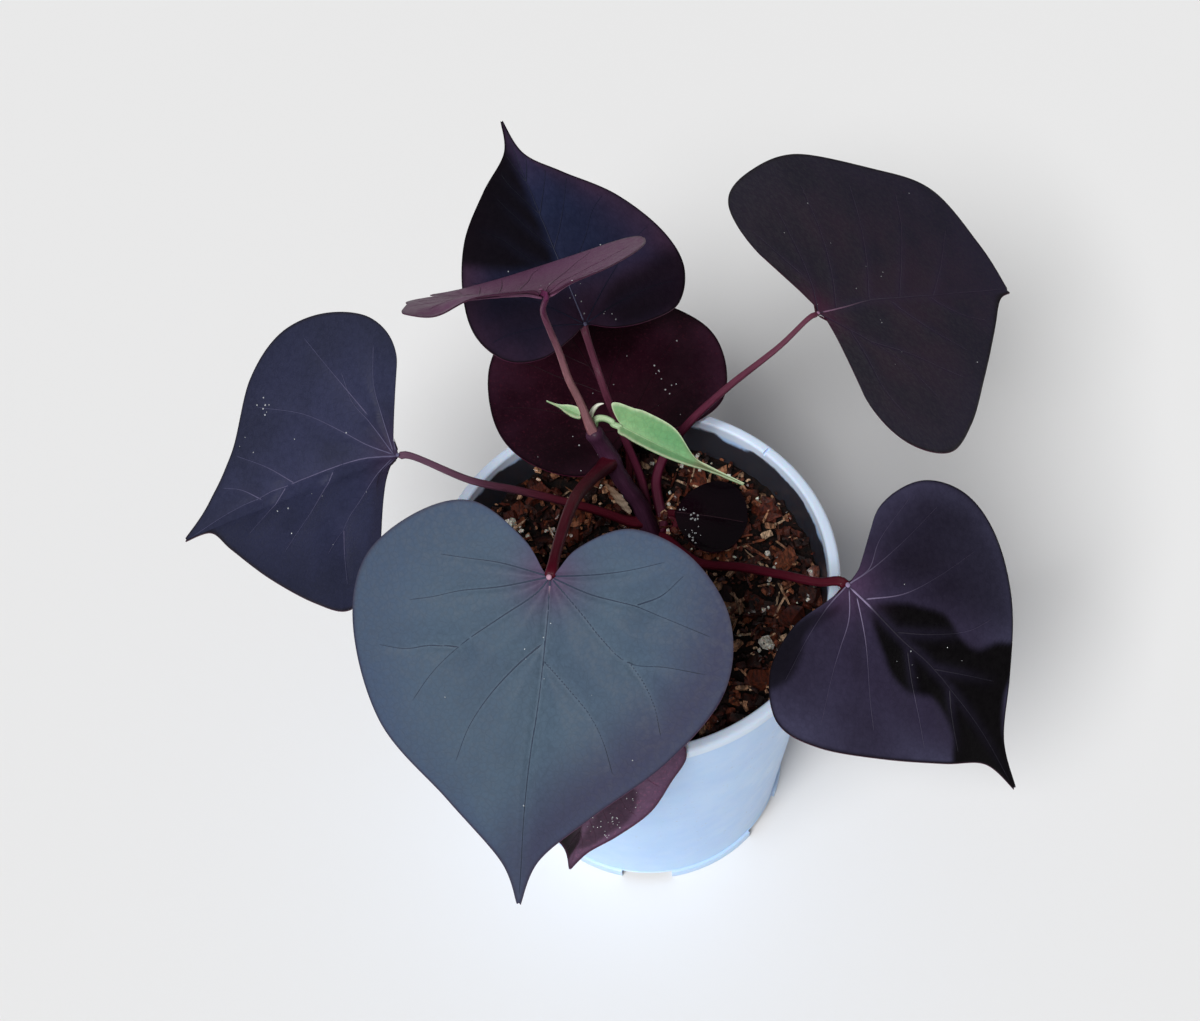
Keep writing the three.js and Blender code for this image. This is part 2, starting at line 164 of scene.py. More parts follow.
def add_node(tree, kind, sockets=None, **settings):
    node = tree.nodes.new(kind)
    for key, value in settings.items():
        setattr(node, key, value)
    for key, value in (sockets or {}).items():
        set_socket(tree.links, node.inputs[key], value)
    return node


def mix_color(tree, amount, first, second, blend="MIX"):
    node = add_node(tree, "ShaderNodeMix", data_type="RGBA", blend_type=blend)
    set_socket(tree.links, node.inputs[0], amount)
    set_socket(tree.links, node.inputs[6], first)
    set_socket(tree.links, node.inputs[7], second)
    return node.outputs[2]


def math_node(tree, operation, a, b):
    node = add_node(tree, "ShaderNodeMath", operation=operation)
    set_socket(tree.links, node.inputs[0], a)
    set_socket(tree.links, node.inputs[1], b)
    return node.outputs[0]


def ramp(tree, value, low, high, out_low=0.0, out_high=1.0):
    node = add_node(tree, "ShaderNodeMapRange", interpolation_type="SMOOTHSTEP")
    for socket, amount in zip(node.inputs, (value, low, high, out_low, out_high)):
        set_socket(tree.links, socket, amount)
    return node.outputs[0]


def object_place(tree):
    return add_node(tree, "ShaderNodeTexCoord").outputs["Object"]


def noise_at(tree, where, scale, detail=3.0, roughness=0.55):
    return add_node(tree, "ShaderNodeTexNoise", {"Vector": where, "Scale": scale, "Detail": detail,
                                                "Roughness": roughness}).outputs["Fac"]


def attribute(tree, name):
    return add_node(tree, "ShaderNodeAttribute", attribute_name=name).outputs["Fac"]


def times(tree, a, b):
    return math_node(tree, "MULTIPLY", a, b)


def toned(tree, color, shade):
    grey = add_node(tree, "ShaderNodeCombineXYZ", {"X": shade, "Y": shade, "Z": shade}).outputs[0]
    return mix_color(tree, 1.0, color, grey, "MULTIPLY")


# %% Groups and materials
def new_group(name, colors, amounts, heights):
    """A group that takes colours and amounts and puts out one colour and some heights."""
    tree = bpy.data.node_groups.new(name, "ShaderNodeTree")
    sockets = [(label, "INPUT", "NodeSocketColor") for label in colors]
    sockets += [(label, "INPUT", "NodeSocketFloat") for label in amounts]
    sockets += [("Color", "OUTPUT", "NodeSocketColor")]
    sockets += [(label, "OUTPUT", "NodeSocketFloat") for label in heights]
    for label, way, kind in sockets:
        tree.interface.new_socket(label, in_out=way, socket_type=kind)
    return tree, tree.nodes.new("NodeGroupInput").outputs, tree.nodes.new("NodeGroupOutput").inputs


def place_group(tree, group, values):
    node = tree.nodes.new("ShaderNodeGroup")
    node.node_tree = group
    for key, value in values.items():
        set_socket(tree.links, node.inputs[key], value)
    return node.outputs


def new_material(name, **shader_values):
    material = bpy.data.materials.new(name)
    material.use_nodes = True
    tree = material.node_tree
    shader = tree.nodes["Principled BSDF"]
    for key, value in shader_values.items():
        shader.inputs[key.replace("_", " ").title().replace("Ior", "IOR")].default_value = value
    return material, tree, shader


def bump(tree, shader, height, strength, depth):
    node = add_node(tree, "ShaderNodeBump", {"Strength": strength, "Distance": depth, "Height": height})
    tree.links.new(node.outputs["Normal"], shader.inputs["Normal"])

# %% [markdown]
# ## The skin of a leaf
#
# All eleven leaves share one kind of surface: a matte blade with soft blotches, a faint net of
# small veins, another tint beside the large veins and round the stalk's seat, a thin dark rim,
# and a redder underside. Painted light comes on top: a painted sheen and shade that change the
# colour towards the margins, and patches of painted shade. That is one node group with a colour
# for each, so every leaf can be given its own mood. Six masks are written into the mesh when the
# blade is made: near_vein, near_rim, near_seat, the mask of painted sheen and shade at the
# margins, shaded (the painted shade) and under. The blotches, the freckles and the net of small
# veins read object coordinates.

# %% The leaf skin group
SKIN_COLORS = ("Blade", "Blotch", "Margin Light", "Shaded", "Beside Veins", "Seat", "Rim", "Underside", "Freckle")
SKIN_AMOUNTS = ("Blotch Amount", "Vein Amount", "Seat Amount", "Freckle Amount")
leaf_skin, given, made = new_group("leaf_skin", SKIN_COLORS, SKIN_AMOUNTS, ("Height", "Grain"))
where = object_place(leaf_skin)
mottle = noise_at(leaf_skin, where, 700, 4)
wander = add_node(leaf_skin, "ShaderNodeTexNoise", {"Vector": where, "Scale": 300}).outputs["Color"]
warped = mix_color(leaf_skin, 0.0012, where, wander, "ADD")
cells = add_node(leaf_skin, "ShaderNodeTexVoronoi", {"Vector": warped, "Scale": 700},
                 feature="DISTANCE_TO_EDGE").outputs["Distance"]
net = ramp(leaf_skin, cells, 0.0, 0.2)
blotches = ramp(leaf_skin, noise_at(leaf_skin, where, 45, 2), 0.4, 0.64)
freckles = ramp(leaf_skin, noise_at(leaf_skin, where, 1500, 2), 0.56, 0.7)
color = given["Blade"]
# two of these masks paint light into the colour: the sheen and shade at the margins, and the shaded patches
for mask, strength, tint in (
        (attribute(leaf_skin, "margin_light"), None, "Margin Light"), (blotches, "Blotch Amount", "Blotch"),
        (freckles, "Freckle Amount", "Freckle"), (attribute(leaf_skin, "shaded"), None, "Shaded"),
        (attribute(leaf_skin, "near_vein"), "Vein Amount", "Beside Veins"),
        (attribute(leaf_skin, "near_seat"), "Seat Amount", "Seat"),
        (attribute(leaf_skin, "near_rim"), None, "Rim"), (attribute(leaf_skin, "under"), None, "Underside")):
    amount = times(leaf_skin, mask, given[strength]) if strength else mask
    color = mix_color(leaf_skin, amount, color, given[tint])
shade = times(leaf_skin, ramp(leaf_skin, mottle, 0.3, 0.7, 0.93, 1.07),
              ramp(leaf_skin, net, 0, 1, 0.93, 1.0))
leaf_skin.links.new(toned(leaf_skin, color, shade), made["Color"])
leaf_skin.links.new(math_node(leaf_skin, "ADD", net, times(leaf_skin, mottle, 0.7)), made["Height"])
leaf_skin.links.new(ramp(leaf_skin, mottle, 0.3, 0.7, 0.0, 1.0), made["Grain"])
print("leaf_skin has", len(leaf_skin.nodes), "nodes")


# %% Leaf materials
BLADE_BUMP, BUMP_DEPTH = 0.12, 0.00015


def leaf_material(name, colors, amounts, roughness, **shader_values):
    """colors and amounts come in the order of SKIN_COLORS and SKIN_AMOUNTS."""
    material, tree, shader = new_material(name, **shader_values)
    values = dict(zip(SKIN_COLORS, (paint(*c) for c in colors))) | dict(zip(SKIN_AMOUNTS, amounts))
    skin = place_group(tree, leaf_skin, values)
    tree.links.new(skin["Color"], shader.inputs["Base Color"])
    tree.links.new(ramp(tree, skin["Grain"], 0, 1, *roughness), shader.inputs["Roughness"])
    bump(tree, shader, skin["Height"], BLADE_BUMP, BUMP_DEPTH)
    return material


slate = leaf_material(
    "slate_leaf", ((66, 83, 100), (59, 74, 93), (57, 72, 96), (48, 48, 72), (96, 112, 126), (84, 52, 84),
                   (44, 42, 62), (86, 44, 72), (80, 98, 112)),
    (0.55, 0.45, 0.7, 0.1), (0.55, 0.68), specular_ior_level=0.2)
indigo = leaf_material(
    "indigo_leaf", ((39, 42, 68), (27, 30, 50), (30, 33, 56), (26, 22, 38), (54, 54, 82), (54, 36, 60),
                    (20, 16, 26), (80, 36, 62), (50, 52, 78)),
    (0.6, 0.35, 0.6, 0.15), (0.5, 0.64), specular_ior_level=0.2)
navy = leaf_material(
    "navy_leaf", ((29, 37, 65), (24, 26, 46), (58, 40, 60), (10, 5, 12), (38, 42, 70), (44, 20, 36),
                  (10, 6, 11), (84, 38, 64), (30, 26, 46)),
    (0.6, 0.3, 0.7, 0.1), (0.42, 0.55), specular_ior_level=0.15)
wine = leaf_material(
    "wine_leaf", ((42, 14, 26), (22, 5, 12), (52, 26, 41), (8, 2, 6), (48, 16, 28), (66, 22, 40),
                   (14, 3, 9), (92, 32, 58), (74, 28, 42)),
    (0.75, 0.3, 0.6, 0.35), (0.3, 0.42), coat_weight=0.06, coat_roughness=0.12, specular_ior_level=0.12)
# a near-black copy of the wine leaf for the leaf lying under the others: wet gloss, and painted shade in its
# colours
shaded_wet_wine = leaf_material(
    "shaded_wet_leaf", ((13, 4, 10), (7, 2, 6), (10, 3, 9), (6, 1, 5), (16, 5, 12), (30, 9, 20), (14, 4, 10),
                      (60, 20, 40), (22, 7, 15)),
    (0.7, 0.2, 0.4, 0.3), (0.14, 0.22), coat_weight=0.12, coat_roughness=0.05, specular_ior_level=0.15)
plum = leaf_material(
    "plum_leaf", ((43, 30, 45), (29, 26, 41), (36, 31, 48), (14, 9, 15), (52, 42, 66), (84, 30, 58),
                  (18, 11, 17), (86, 36, 62), (58, 36, 50)),
    (0.85, 0.45, 0.6, 0.25), (0.5, 0.64), specular_ior_level=0.12)
plum_violet = leaf_material(
    "plum_violet_leaf", ((46, 40, 61), (38, 32, 50), (62, 60, 84), (2, 0, 2), (58, 52, 78), (78, 56, 84),
                         (12, 6, 12), (86, 36, 62), (54, 46, 66)),
    (0.6, 0.35, 0.7, 0.15), (0.45, 0.6), specular_ior_level=0.12)
mauve = leaf_material(
    "mauve_leaf", ((108, 62, 96), (94, 50, 82), (102, 58, 92), (40, 14, 28), (104, 66, 94), (72, 26, 54),
                   (66, 34, 58), (88, 44, 70), (112, 76, 100)),
    (0.5, 0.3, 0.6, 0.2), (0.5, 0.62), specular_ior_level=0.2)
mauve_wet = leaf_material(
    "mauve_wet_leaf", ((104, 80, 103), (88, 60, 85), (92, 68, 92), (8, 0, 4), (118, 92, 114), (96, 40, 74),
                       (60, 30, 52), (112, 66, 96), (140, 84, 112)),
    (0.5, 0.3, 0.6, 0.35), (0.3, 0.44), coat_weight=0.04, coat_roughness=0.1, specular_ior_level=0.15)
young_green = leaf_material(
    "green_leaf", ((104, 160, 106), (84, 140, 94), (112, 158, 108), (100, 80, 54), (150, 184, 138),
                   (140, 176, 124), (190, 208, 170), (124, 156, 112), (118, 166, 114)),
    (0.5, 0.5, 0.5, 0.15), (0.42, 0.55), subsurface_weight=0.1, subsurface_scale=0.002,
    specular_ior_level=0.3)
print("10 leaf materials")

# %% [markdown]
# ## The skin of a stalk
#
# Leaf stalks are juicy, ribbed and burgundy. Their side that faces the light, where `top` is
# high, is painted paler: a painted highlight, also on the stem, the bud and the sheath. Long fine
# streaks follow them from end to end, so this group reads the attributes `along` and `around`,
# which the sweep below writes, and stretches a noise along the first.

# %% The stalk skin group
STALK_COLORS = ("Skin", "Lit Side", "Far End")
stalk_skin, given, made = new_group("stalk_skin", STALK_COLORS, (), ("Height",))
streaks = add_node(stalk_skin, "ShaderNodeCombineXYZ",
                   {"X": times(stalk_skin, attribute(stalk_skin, "along"), 14),
                    "Y": times(stalk_skin, attribute(stalk_skin, "around"), 5)}).outputs[0]
grain = noise_at(stalk_skin, streaks, 1.6, 4)
# the side that faces the light is painted paler: a painted highlight
color = mix_color(stalk_skin, ramp(stalk_skin, attribute(stalk_skin, "top"), 0.2, 1.0),
                  given["Skin"], given["Lit Side"])
color = mix_color(stalk_skin, ramp(stalk_skin, attribute(stalk_skin, "share"), 0.25, 0.95), color,
                  given["Far End"])
shade = ramp(stalk_skin, grain, 0.3, 0.7, 0.72, 1.25)
stalk_skin.links.new(toned(stalk_skin, color, shade), made["Color"])
stalk_skin.links.new(grain, made["Height"])
print("stalk_skin has", len(stalk_skin.nodes), "nodes")


# %% Stalk materials
STALK_BUMP, STALK_BUMP_DEPTH = 0.5, 0.0002


# upper is the colour of the painted highlight on the side that faces the light
def stalk_material(name, skin, upper, far, roughness=0.5, **shader_values):
    material, tree, shader = new_material(name, roughness=roughness, **shader_values)
    out = place_group(tree, stalk_skin, dict(zip(STALK_COLORS, (paint(*c) for c in (skin, upper, far)))))
    tree.links.new(out["Color"], shader.inputs["Base Color"])
    bump(tree, shader, out["Height"], STALK_BUMP, STALK_BUMP_DEPTH)
    return material


burgundy = stalk_material("burgundy_stalk", (56, 4, 18), (80, 16, 32), (66, 8, 24),
                          coat_weight=0.03, specular_ior_level=0.1)
grey_stalk = stalk_material("grey_stalk", (56, 5, 18), (86, 22, 36), (92, 64, 82),
                            coat_weight=0.03, specular_ior_level=0.1)
rose_stalk = stalk_material("rose_stalk", (52, 6, 24), (74, 22, 42), (92, 46, 64),
                            coat_weight=0.03, specular_ior_level=0.12)
stem_purple = stalk_material("stem_purple", (40, 12, 28), (64, 34, 54), (56, 28, 48),
                             coat_weight=0.04, specular_ior_level=0.15)
pink_tan = stalk_material("young_stalk", (122, 74, 78), (150, 106, 112), (88, 34, 68),
                          specular_ior_level=0.12)
pale_green = stalk_material("green_stalk", (118, 150, 104), (176, 198, 160), (150, 182, 136), 0.4)
dry_tan = stalk_material("dry_sheath", (150, 130, 112), (186, 168, 144), (128, 98, 76), 0.7)
pale_bud = stalk_material("pale_bud", (150, 176, 132), (226, 232, 208), (240, 240, 226), 0.4)
print("8 stalk materials")

# %% [markdown]
# ## Vein colours
#
# A vein is palest where it leaves the stalk's seat and fades into the blade as it thins out, so
# its colour follows the mask `faint`. In a shaded patch it darkens with the blade round it.

# %% Vein materials
def vein_material(name, near, far, fade_from=0.1, fade_to=0.6):
    material, tree, shader = new_material(name, roughness=0.5, specular_ior_level=0.2)
    in_patch, in_grain = (paint(*(c * share for c in far)) for share in (0.35, 0.6))
    fade = ramp(tree, attribute(tree, "faint"), fade_from, fade_to)
    color = mix_color(tree, fade, paint(*near), paint(*far))
    color = mix_color(tree, times(tree, attribute(tree, "shaded"), 0.95), color, in_patch)
    grain = ramp(tree, noise_at(tree, object_place(tree), 900), 0.3, 0.7, 0.0, 0.25)
    tree.links.new(mix_color(tree, grain, color, in_grain), shader.inputs["Base Color"])
    return material


vein_slate = vein_material("slate_vein", (176, 136, 154), (44, 55, 74), 0.0, 0.07)
vein_lilac = vein_material("lilac_vein", (92, 88, 116), (62, 64, 92), 0.2, 1.0)
vein_violet = vein_material("violet_vein", (144, 130, 162), (66, 60, 84), 0.1, 0.7)
vein_navy = vein_material("navy_vein", (96, 94, 122), (28, 32, 54), 0.0, 0.4)
vein_plum = vein_material("plum_vein", (158, 116, 146), (52, 42, 62), 0.0, 0.3)
vein_wine = vein_material("wine_vein", (54, 20, 34), (28, 7, 17))
vein_mauve = vein_material("mauve_vein", (120, 76, 104), (96, 60, 86))
vein_green = vein_material("green_vein", (168, 196, 152), (124, 166, 116))
print("8 vein materials")

# %% [markdown]
# ## How a blade is shaped
#
# A leaf could be cut from a plane along its outline, but then its mesh would ignore the midrib.
# Here a plain grid is bent onto the leaf instead. Its columns leave the midrib and run out to the
# margin, close together at the base so that they fan round the lobes. The flat leaf is then
# curled: `arch` bends the midrib, `fold` and `droop` lift and bend each half, `sway` bends it
# sideways. All positions on a leaf are (u, v): u along the midrib and v out to its left, both in
# leaf lengths.

# %% Leaf outlines
RIB = [0.01, 0.02, 0.03, 0.06, 0.14, 0.28, 0.47, 0.66, 0.84, 0.995]
FRONT_LEFT = [[0, 0.015], [-0.1, 0.08], [-0.18, 0.23], [-0.13, 0.41], [0.03, 0.55],
              [0.24, 0.56], [0.47, 0.42], [0.68, 0.21], [0.85, 0.055], [1, 0.006]]
FRONT_RIGHT = [[0, 0.015], [-0.1, 0.08], [-0.19, 0.25], [-0.13, 0.42], [0.03, 0.565],
               [0.25, 0.575], [0.51, 0.47], [0.71, 0.24], [0.87, 0.065], [1, 0.006]]
INNER_LEFT = [[0.01, 0.015], [0.077, 0.067], [0.041, 0.28], [0.048, 0.475], [0.153, 0.57],
              [0.314, 0.492], [0.538, 0.32], [0.74, 0.134], [0.869, 0.014], [1, 0.006]]
OUTER_LEFT = [[0, 0.015], [-0.003, 0.129], [-0.093, 0.337], [-0.025, 0.494], [0.162, 0.581],
              [0.373, 0.583], [0.543, 0.47], [0.694, 0.246], [0.853, 0.097], [1, 0.006]]
REAR_LEFT = [[0, 0.015], [-0.042, 0.112], [-0.084, 0.291], [-0.041, 0.465], [0.104, 0.562],
             [0.296, 0.54], [0.516, 0.43], [0.704, 0.242], [0.851, 0.058], [1, 0.006]]
REAR_RIGHT = [[0, 0.015], [-0.058, 0.133], [-0.081, 0.304], [-0.052, 0.484], [0.1, 0.586],
              [0.294, 0.55], [0.518, 0.398], [0.693, 0.186], [0.829, 0.04], [1, 0.006]]
LOWER_LEFT = [[0, 0.015], [-0.084, 0.104], [-0.134, 0.282], [-0.049, 0.439], [0.119, 0.547],
              [0.309, 0.547], [0.536, 0.447], [0.715, 0.263], [0.859, 0.09], [1, 0.006]]
LOWER_RIGHT = [[0, 0.015], [-0.068, 0.124], [-0.112, 0.306], [-0.061, 0.482], [0.115, 0.589],
               [0.308, 0.596], [0.517, 0.467], [0.692, 0.269], [0.84, 0.096], [1, 0.006]]
BROAD_SIDE = [[0, 0.015], [0.02, 0.106], [-0.146, 0.216], [-0.164, 0.405], [0.054, 0.55],
              [0.353, 0.631], [0.684, 0.556], [0.913, 0.443], [0.986, 0.192], [1, 0.01]]
NARROW_SIDE = [[0.03, 0.02], [0.043, 0.105], [-0.051, 0.331], [0.014, 0.49], [0.198, 0.549],
               [0.391, 0.464], [0.603, 0.304], [0.796, 0.145], [0.93, 0.03], [1, 0.01]]
FORE_LEFT = [[0, 0.015], [-0.022, 0.113], [-0.103, 0.288], [-0.05, 0.48], [0.108, 0.585],
             [0.3, 0.575], [0.517, 0.454], [0.694, 0.261], [0.84, 0.084], [1, 0.006]]
FORE_RIGHT = [[0, 0.015], [-0.028, 0.119], [-0.066, 0.283], [-0.031, 0.461], [0.1, 0.566],
              [0.274, 0.513], [0.493, 0.354], [0.699, 0.175], [0.842, 0.038], [1, 0.006]]
YOUNG_LEFT = [[0, 0.015], [-0.07, 0.07], [-0.11, 0.2], [-0.1, 0.38], [-0.04, 0.54],
              [0.133, 0.57], [0.507, 0.36], [0.688, 0.271], [0.85, 0.055], [1, 0.006]]
YOUNG_RIGHT = [[0, 0.015], [-0.1, 0.08], [-0.15, 0.216], [-0.104, 0.445], [0.05, 0.585],
               [0.23, 0.6], [0.513, 0.413], [0.739, 0.209], [0.87, 0.065], [1, 0.006]]
HANGING_LEFT = [[0, 0.015], [-0.065, 0.112], [-0.107, 0.291], [-0.063, 0.468], [0.077, 0.569],
                [0.259, 0.511], [0.497, 0.419], [0.692, 0.248], [0.852, 0.086], [1, 0.006]]
ROUND_SIDE = [[0, 0.015], [-0.05, 0.12], [-0.09, 0.3], [-0.04, 0.48], [0.11, 0.59],
              [0.29, 0.57], [0.5, 0.44], [0.68, 0.25], [0.83, 0.08], [1, 0.006]]
BLUNT_SIDE = [[0, 0.012], [0.04, 0.12], [0.1, 0.24], [0.2, 0.36], [0.34, 0.47],
              [0.5, 0.54], [0.68, 0.53], [0.85, 0.42], [0.96, 0.22], [1, 0.012]]
GREEN_LEFT = [[0, 0.015], [-0.06, 0.04], [-0.134, 0.105], [-0.097, 0.141], [0.021, 0.16],
              [0.131, 0.18], [0.366, 0.165], [0.58, 0.04], [0.72, 0.022], [1, 0.008]]
GREEN_RIGHT = [[0, 0.015], [-0.02, 0.03], [-0.01, 0.05], [0, 0.07], [0.05, 0.07],
               [0.15, 0.078], [0.376, 0.072], [0.545, 0.051], [0.72, 0.02], [1, 0.008]]
LONG_TAILED = [[0, 0.015], [-0.03, 0.04], [-0.06, 0.08], [-0.04, 0.12], [0.05, 0.155],
               [0.2, 0.165], [0.4, 0.125], [0.56, 0.06], [0.72, 0.022], [1, 0.008]]
print("each half outline has", len(FRONT_LEFT), "stations")

# %% [markdown]
# ## The vein pattern
#
# In the plain pattern three pairs of strong veins fan out from the stalk's seat and four pairs
# more leave the midrib. On the four largest leaves the veins are set one by one, because no two
# grow alike, and the smallest leaves keep only the midrib.

# %% Vein routes
PLAIN_HALF = [
    [(0, 0), (-0.03, 0.08), (-0.08, 0.17), (-0.11, 0.27)],
    [(0, 0), (0.03, 0.13), (0.05, 0.26), (0.06, 0.4), (0.05, 0.5)],
    [(0, 0), (0.1, 0.12), (0.19, 0.24), (0.28, 0.37), (0.33, 0.48)],
    [(0.2, 0), (0.28, 0.07), (0.38, 0.17), (0.48, 0.25), (0.54, 0.34)],
    [(0.37, 0), (0.46, 0.07), (0.57, 0.14), (0.66, 0.19)],
    [(0.54, 0), (0.62, 0.05), (0.71, 0.1), (0.78, 0.12)],
    [(0.7, 0), (0.77, 0.03), (0.84, 0.05)],
]
MIDRIB = [(-0.005, 0), (0.2, 0), (0.4, 0), (0.6, 0), (0.8, 0), (0.97, 0)]


def mirrored(routes):
    return [[(u, -v) for u, v in route] for route in routes]


PLAIN = [MIDRIB, *PLAIN_HALF, *mirrored(PLAIN_HALF)]
FRONT = [
    [(-0.005, 0), (0.19, 0.008), (0.35, 0.01), (0.54, 0), (0.71, -0.003), (0.9, 0), (0.97, 0)],
    [(0, 0), (-0.02, -0.15), (-0.02, -0.24), (-0.02, -0.33)],
    [(0, 0), (0.05, -0.14), (0.08, -0.26), (0.11, -0.34), (0.13, -0.41)],
    [(0, 0), (0.05, -0.03), (0.14, -0.13), (0.25, -0.25), (0.34, -0.32), (0.43, -0.37)],
    [(0.25, -0.25), (0.26, -0.34), (0.28, -0.41), (0.28, -0.49)],
    [(0.2, 0), (0.28, -0.07), (0.38, -0.14), (0.48, -0.19), (0.59, -0.22)],
    [(0, 0), (-0.03, 0.14), (-0.06, 0.24), (-0.1, 0.34)],
    [(0, 0), (0.03, 0.13), (0.04, 0.25), (0.06, 0.36), (0.09, 0.5)],
    [(0.04, 0.27), (0, 0.34), (-0.07, 0.4)],
    [(0, 0), (0.09, 0.11), (0.16, 0.19), (0.21, 0.27), (0.2, 0.38), (0.2, 0.5)],
    [(0.21, 0.27), (0.26, 0.32), (0.32, 0.36), (0.4, 0.39)],
    [(0.25, 0.01), (0.32, 0.1), (0.38, 0.17), (0.45, 0.22), (0.54, 0.26)],
]
LEFT = [
    [(0, 0), (0.15, -0.04), (0.29, -0.05), (0.4, -0.05), (0.57, -0.05), (0.8, -0.03), (0.97, 0)],
    [(0.03, 0), (0.09, 0.05), (0.15, 0.14), (0.22, 0.23), (0.27, 0.32)],
    [(0.22, 0.23), (0.2, 0.34), (0.17, 0.47)],
    [(0.28, -0.04), (0.32, 0.01), (0.37, 0.1), (0.42, 0.17), (0.47, 0.24)],
    [(0.02, 0.01), (0.05, 0.03), (0.09, 0.16), (0.11, 0.31), (0.13, 0.42)],
    [(0.02, -0.01), (0.12, -0.08), (0.21, -0.16), (0.35, -0.27), (0.54, -0.36)],
    [(0.02, -0.01), (0.08, -0.14), (0.14, -0.25), (0.15, -0.36)],
    [(0.09, -0.18), (0.21, -0.41), (0.27, -0.53)],
    [(0.02, -0.02), (0.03, -0.16), (0.03, -0.27), (-0.01, -0.4)],
    [(0.01, -0.02), (-0.01, -0.16), (-0.04, -0.27)],
    [(0.5, -0.05), (0.58, 0.02), (0.66, 0.1)],
    [(0.46, -0.05), (0.56, -0.14), (0.68, -0.22)],
    [(0.62, -0.04), (0.7, -0.1), (0.78, -0.13)],
]
RIGHT_REAR = [
    [(0, 0), (0.15, 0.02), (0.29, 0.04), (0.45, 0.04), (0.7, 0.03), (0.96, 0.01)],
    [(0, 0), (0.07, -0.05), (0.16, -0.12), (0.24, -0.2), (0.31, -0.36)],
    [(0.16, -0.12), (0.31, -0.18), (0.42, -0.25), (0.5, -0.3)],
    [(0, 0), (0.04, 0.1), (0.06, 0.21), (0.07, 0.4)],
    [(0.02, 0.14), (-0.06, 0.23), (-0.12, 0.3)],
    [(0.1, -0.07), (0.09, -0.18), (0.07, -0.3), (0.1, -0.43)],
    [(0.1, 0.01), (0.17, 0.14), (0.23, 0.3), (0.27, 0.5)],
    [(0.29, 0.04), (0.38, 0.18), (0.46, 0.34), (0.52, 0.5)],
    [(0.45, 0.04), (0.56, 0.18), (0.66, 0.32), (0.72, 0.44)],
    [(0.4, 0.03), (0.5, -0.1), (0.6, -0.2)],
    [(0.6, 0.03), (0.7, -0.06), (0.79, -0.1)],
    [(0.62, 0.03), (0.74, 0.14), (0.86, 0.27)],
]
RIGHT_FRONT = [
    [(0, 0), (0.11, 0.01), (0.29, 0.02), (0.43, 0.04), (0.61, 0.04), (0.77, 0.03), (0.96, 0)],
    [(0.01, 0), (0.08, -0.09), (0.12, -0.2), (0.15, -0.28), (0.23, -0.45)],
    [(0.05, 0), (0.18, -0.1), (0.32, -0.24), (0.4, -0.31)],
    [(0.33, 0.01), (0.41, -0.06), (0.52, -0.14), (0.6, -0.2)],
    [(0, 0), (0.02, 0.1), (-0.02, 0.2), (-0.04, 0.4)],
    [(0, 0), (0.03, 0.12), (0.05, 0.28), (0.06, 0.46)],
    [(0.08, 0.01), (0.18, 0.14), (0.24, 0.3), (0.28, 0.46)],
    [(0, 0), (-0.01, -0.12), (0.0, -0.26), (0.03, -0.44)],
    [(0.25, 0.02), (0.36, 0.12), (0.46, 0.24), (0.5, 0.34)],
    [(0.45, 0.04), (0.56, 0.12), (0.66, 0.19)],
    [(0.55, 0.04), (0.64, -0.04), (0.72, -0.1)],
]
print("routes: plain", len(PLAIN), "front", len(FRONT), "left", len(LEFT), "right", len(RIGHT_REAR))

# %% [markdown]
# ## The eleven leaves
#
# Each leaf is one row of a table: its materials, its vein routes, the outline of each half, and
# where it sits in millimetres. `at` is the stalk's seat, `along` points down the midrib and
# `facing` away from the upper side. Each shaded patch is (softness of its edge in mm, strength,
# corners in (u, v)), and each ripple is a local swelling: (u, v, reach, lift in mm). `rib` sizes
# the veins, `quilt` the swelling between them, `valley` and `groove` the depth and width of their
# valleys, `proud` is how far they stand up, and `fine` asks for a finer mesh.

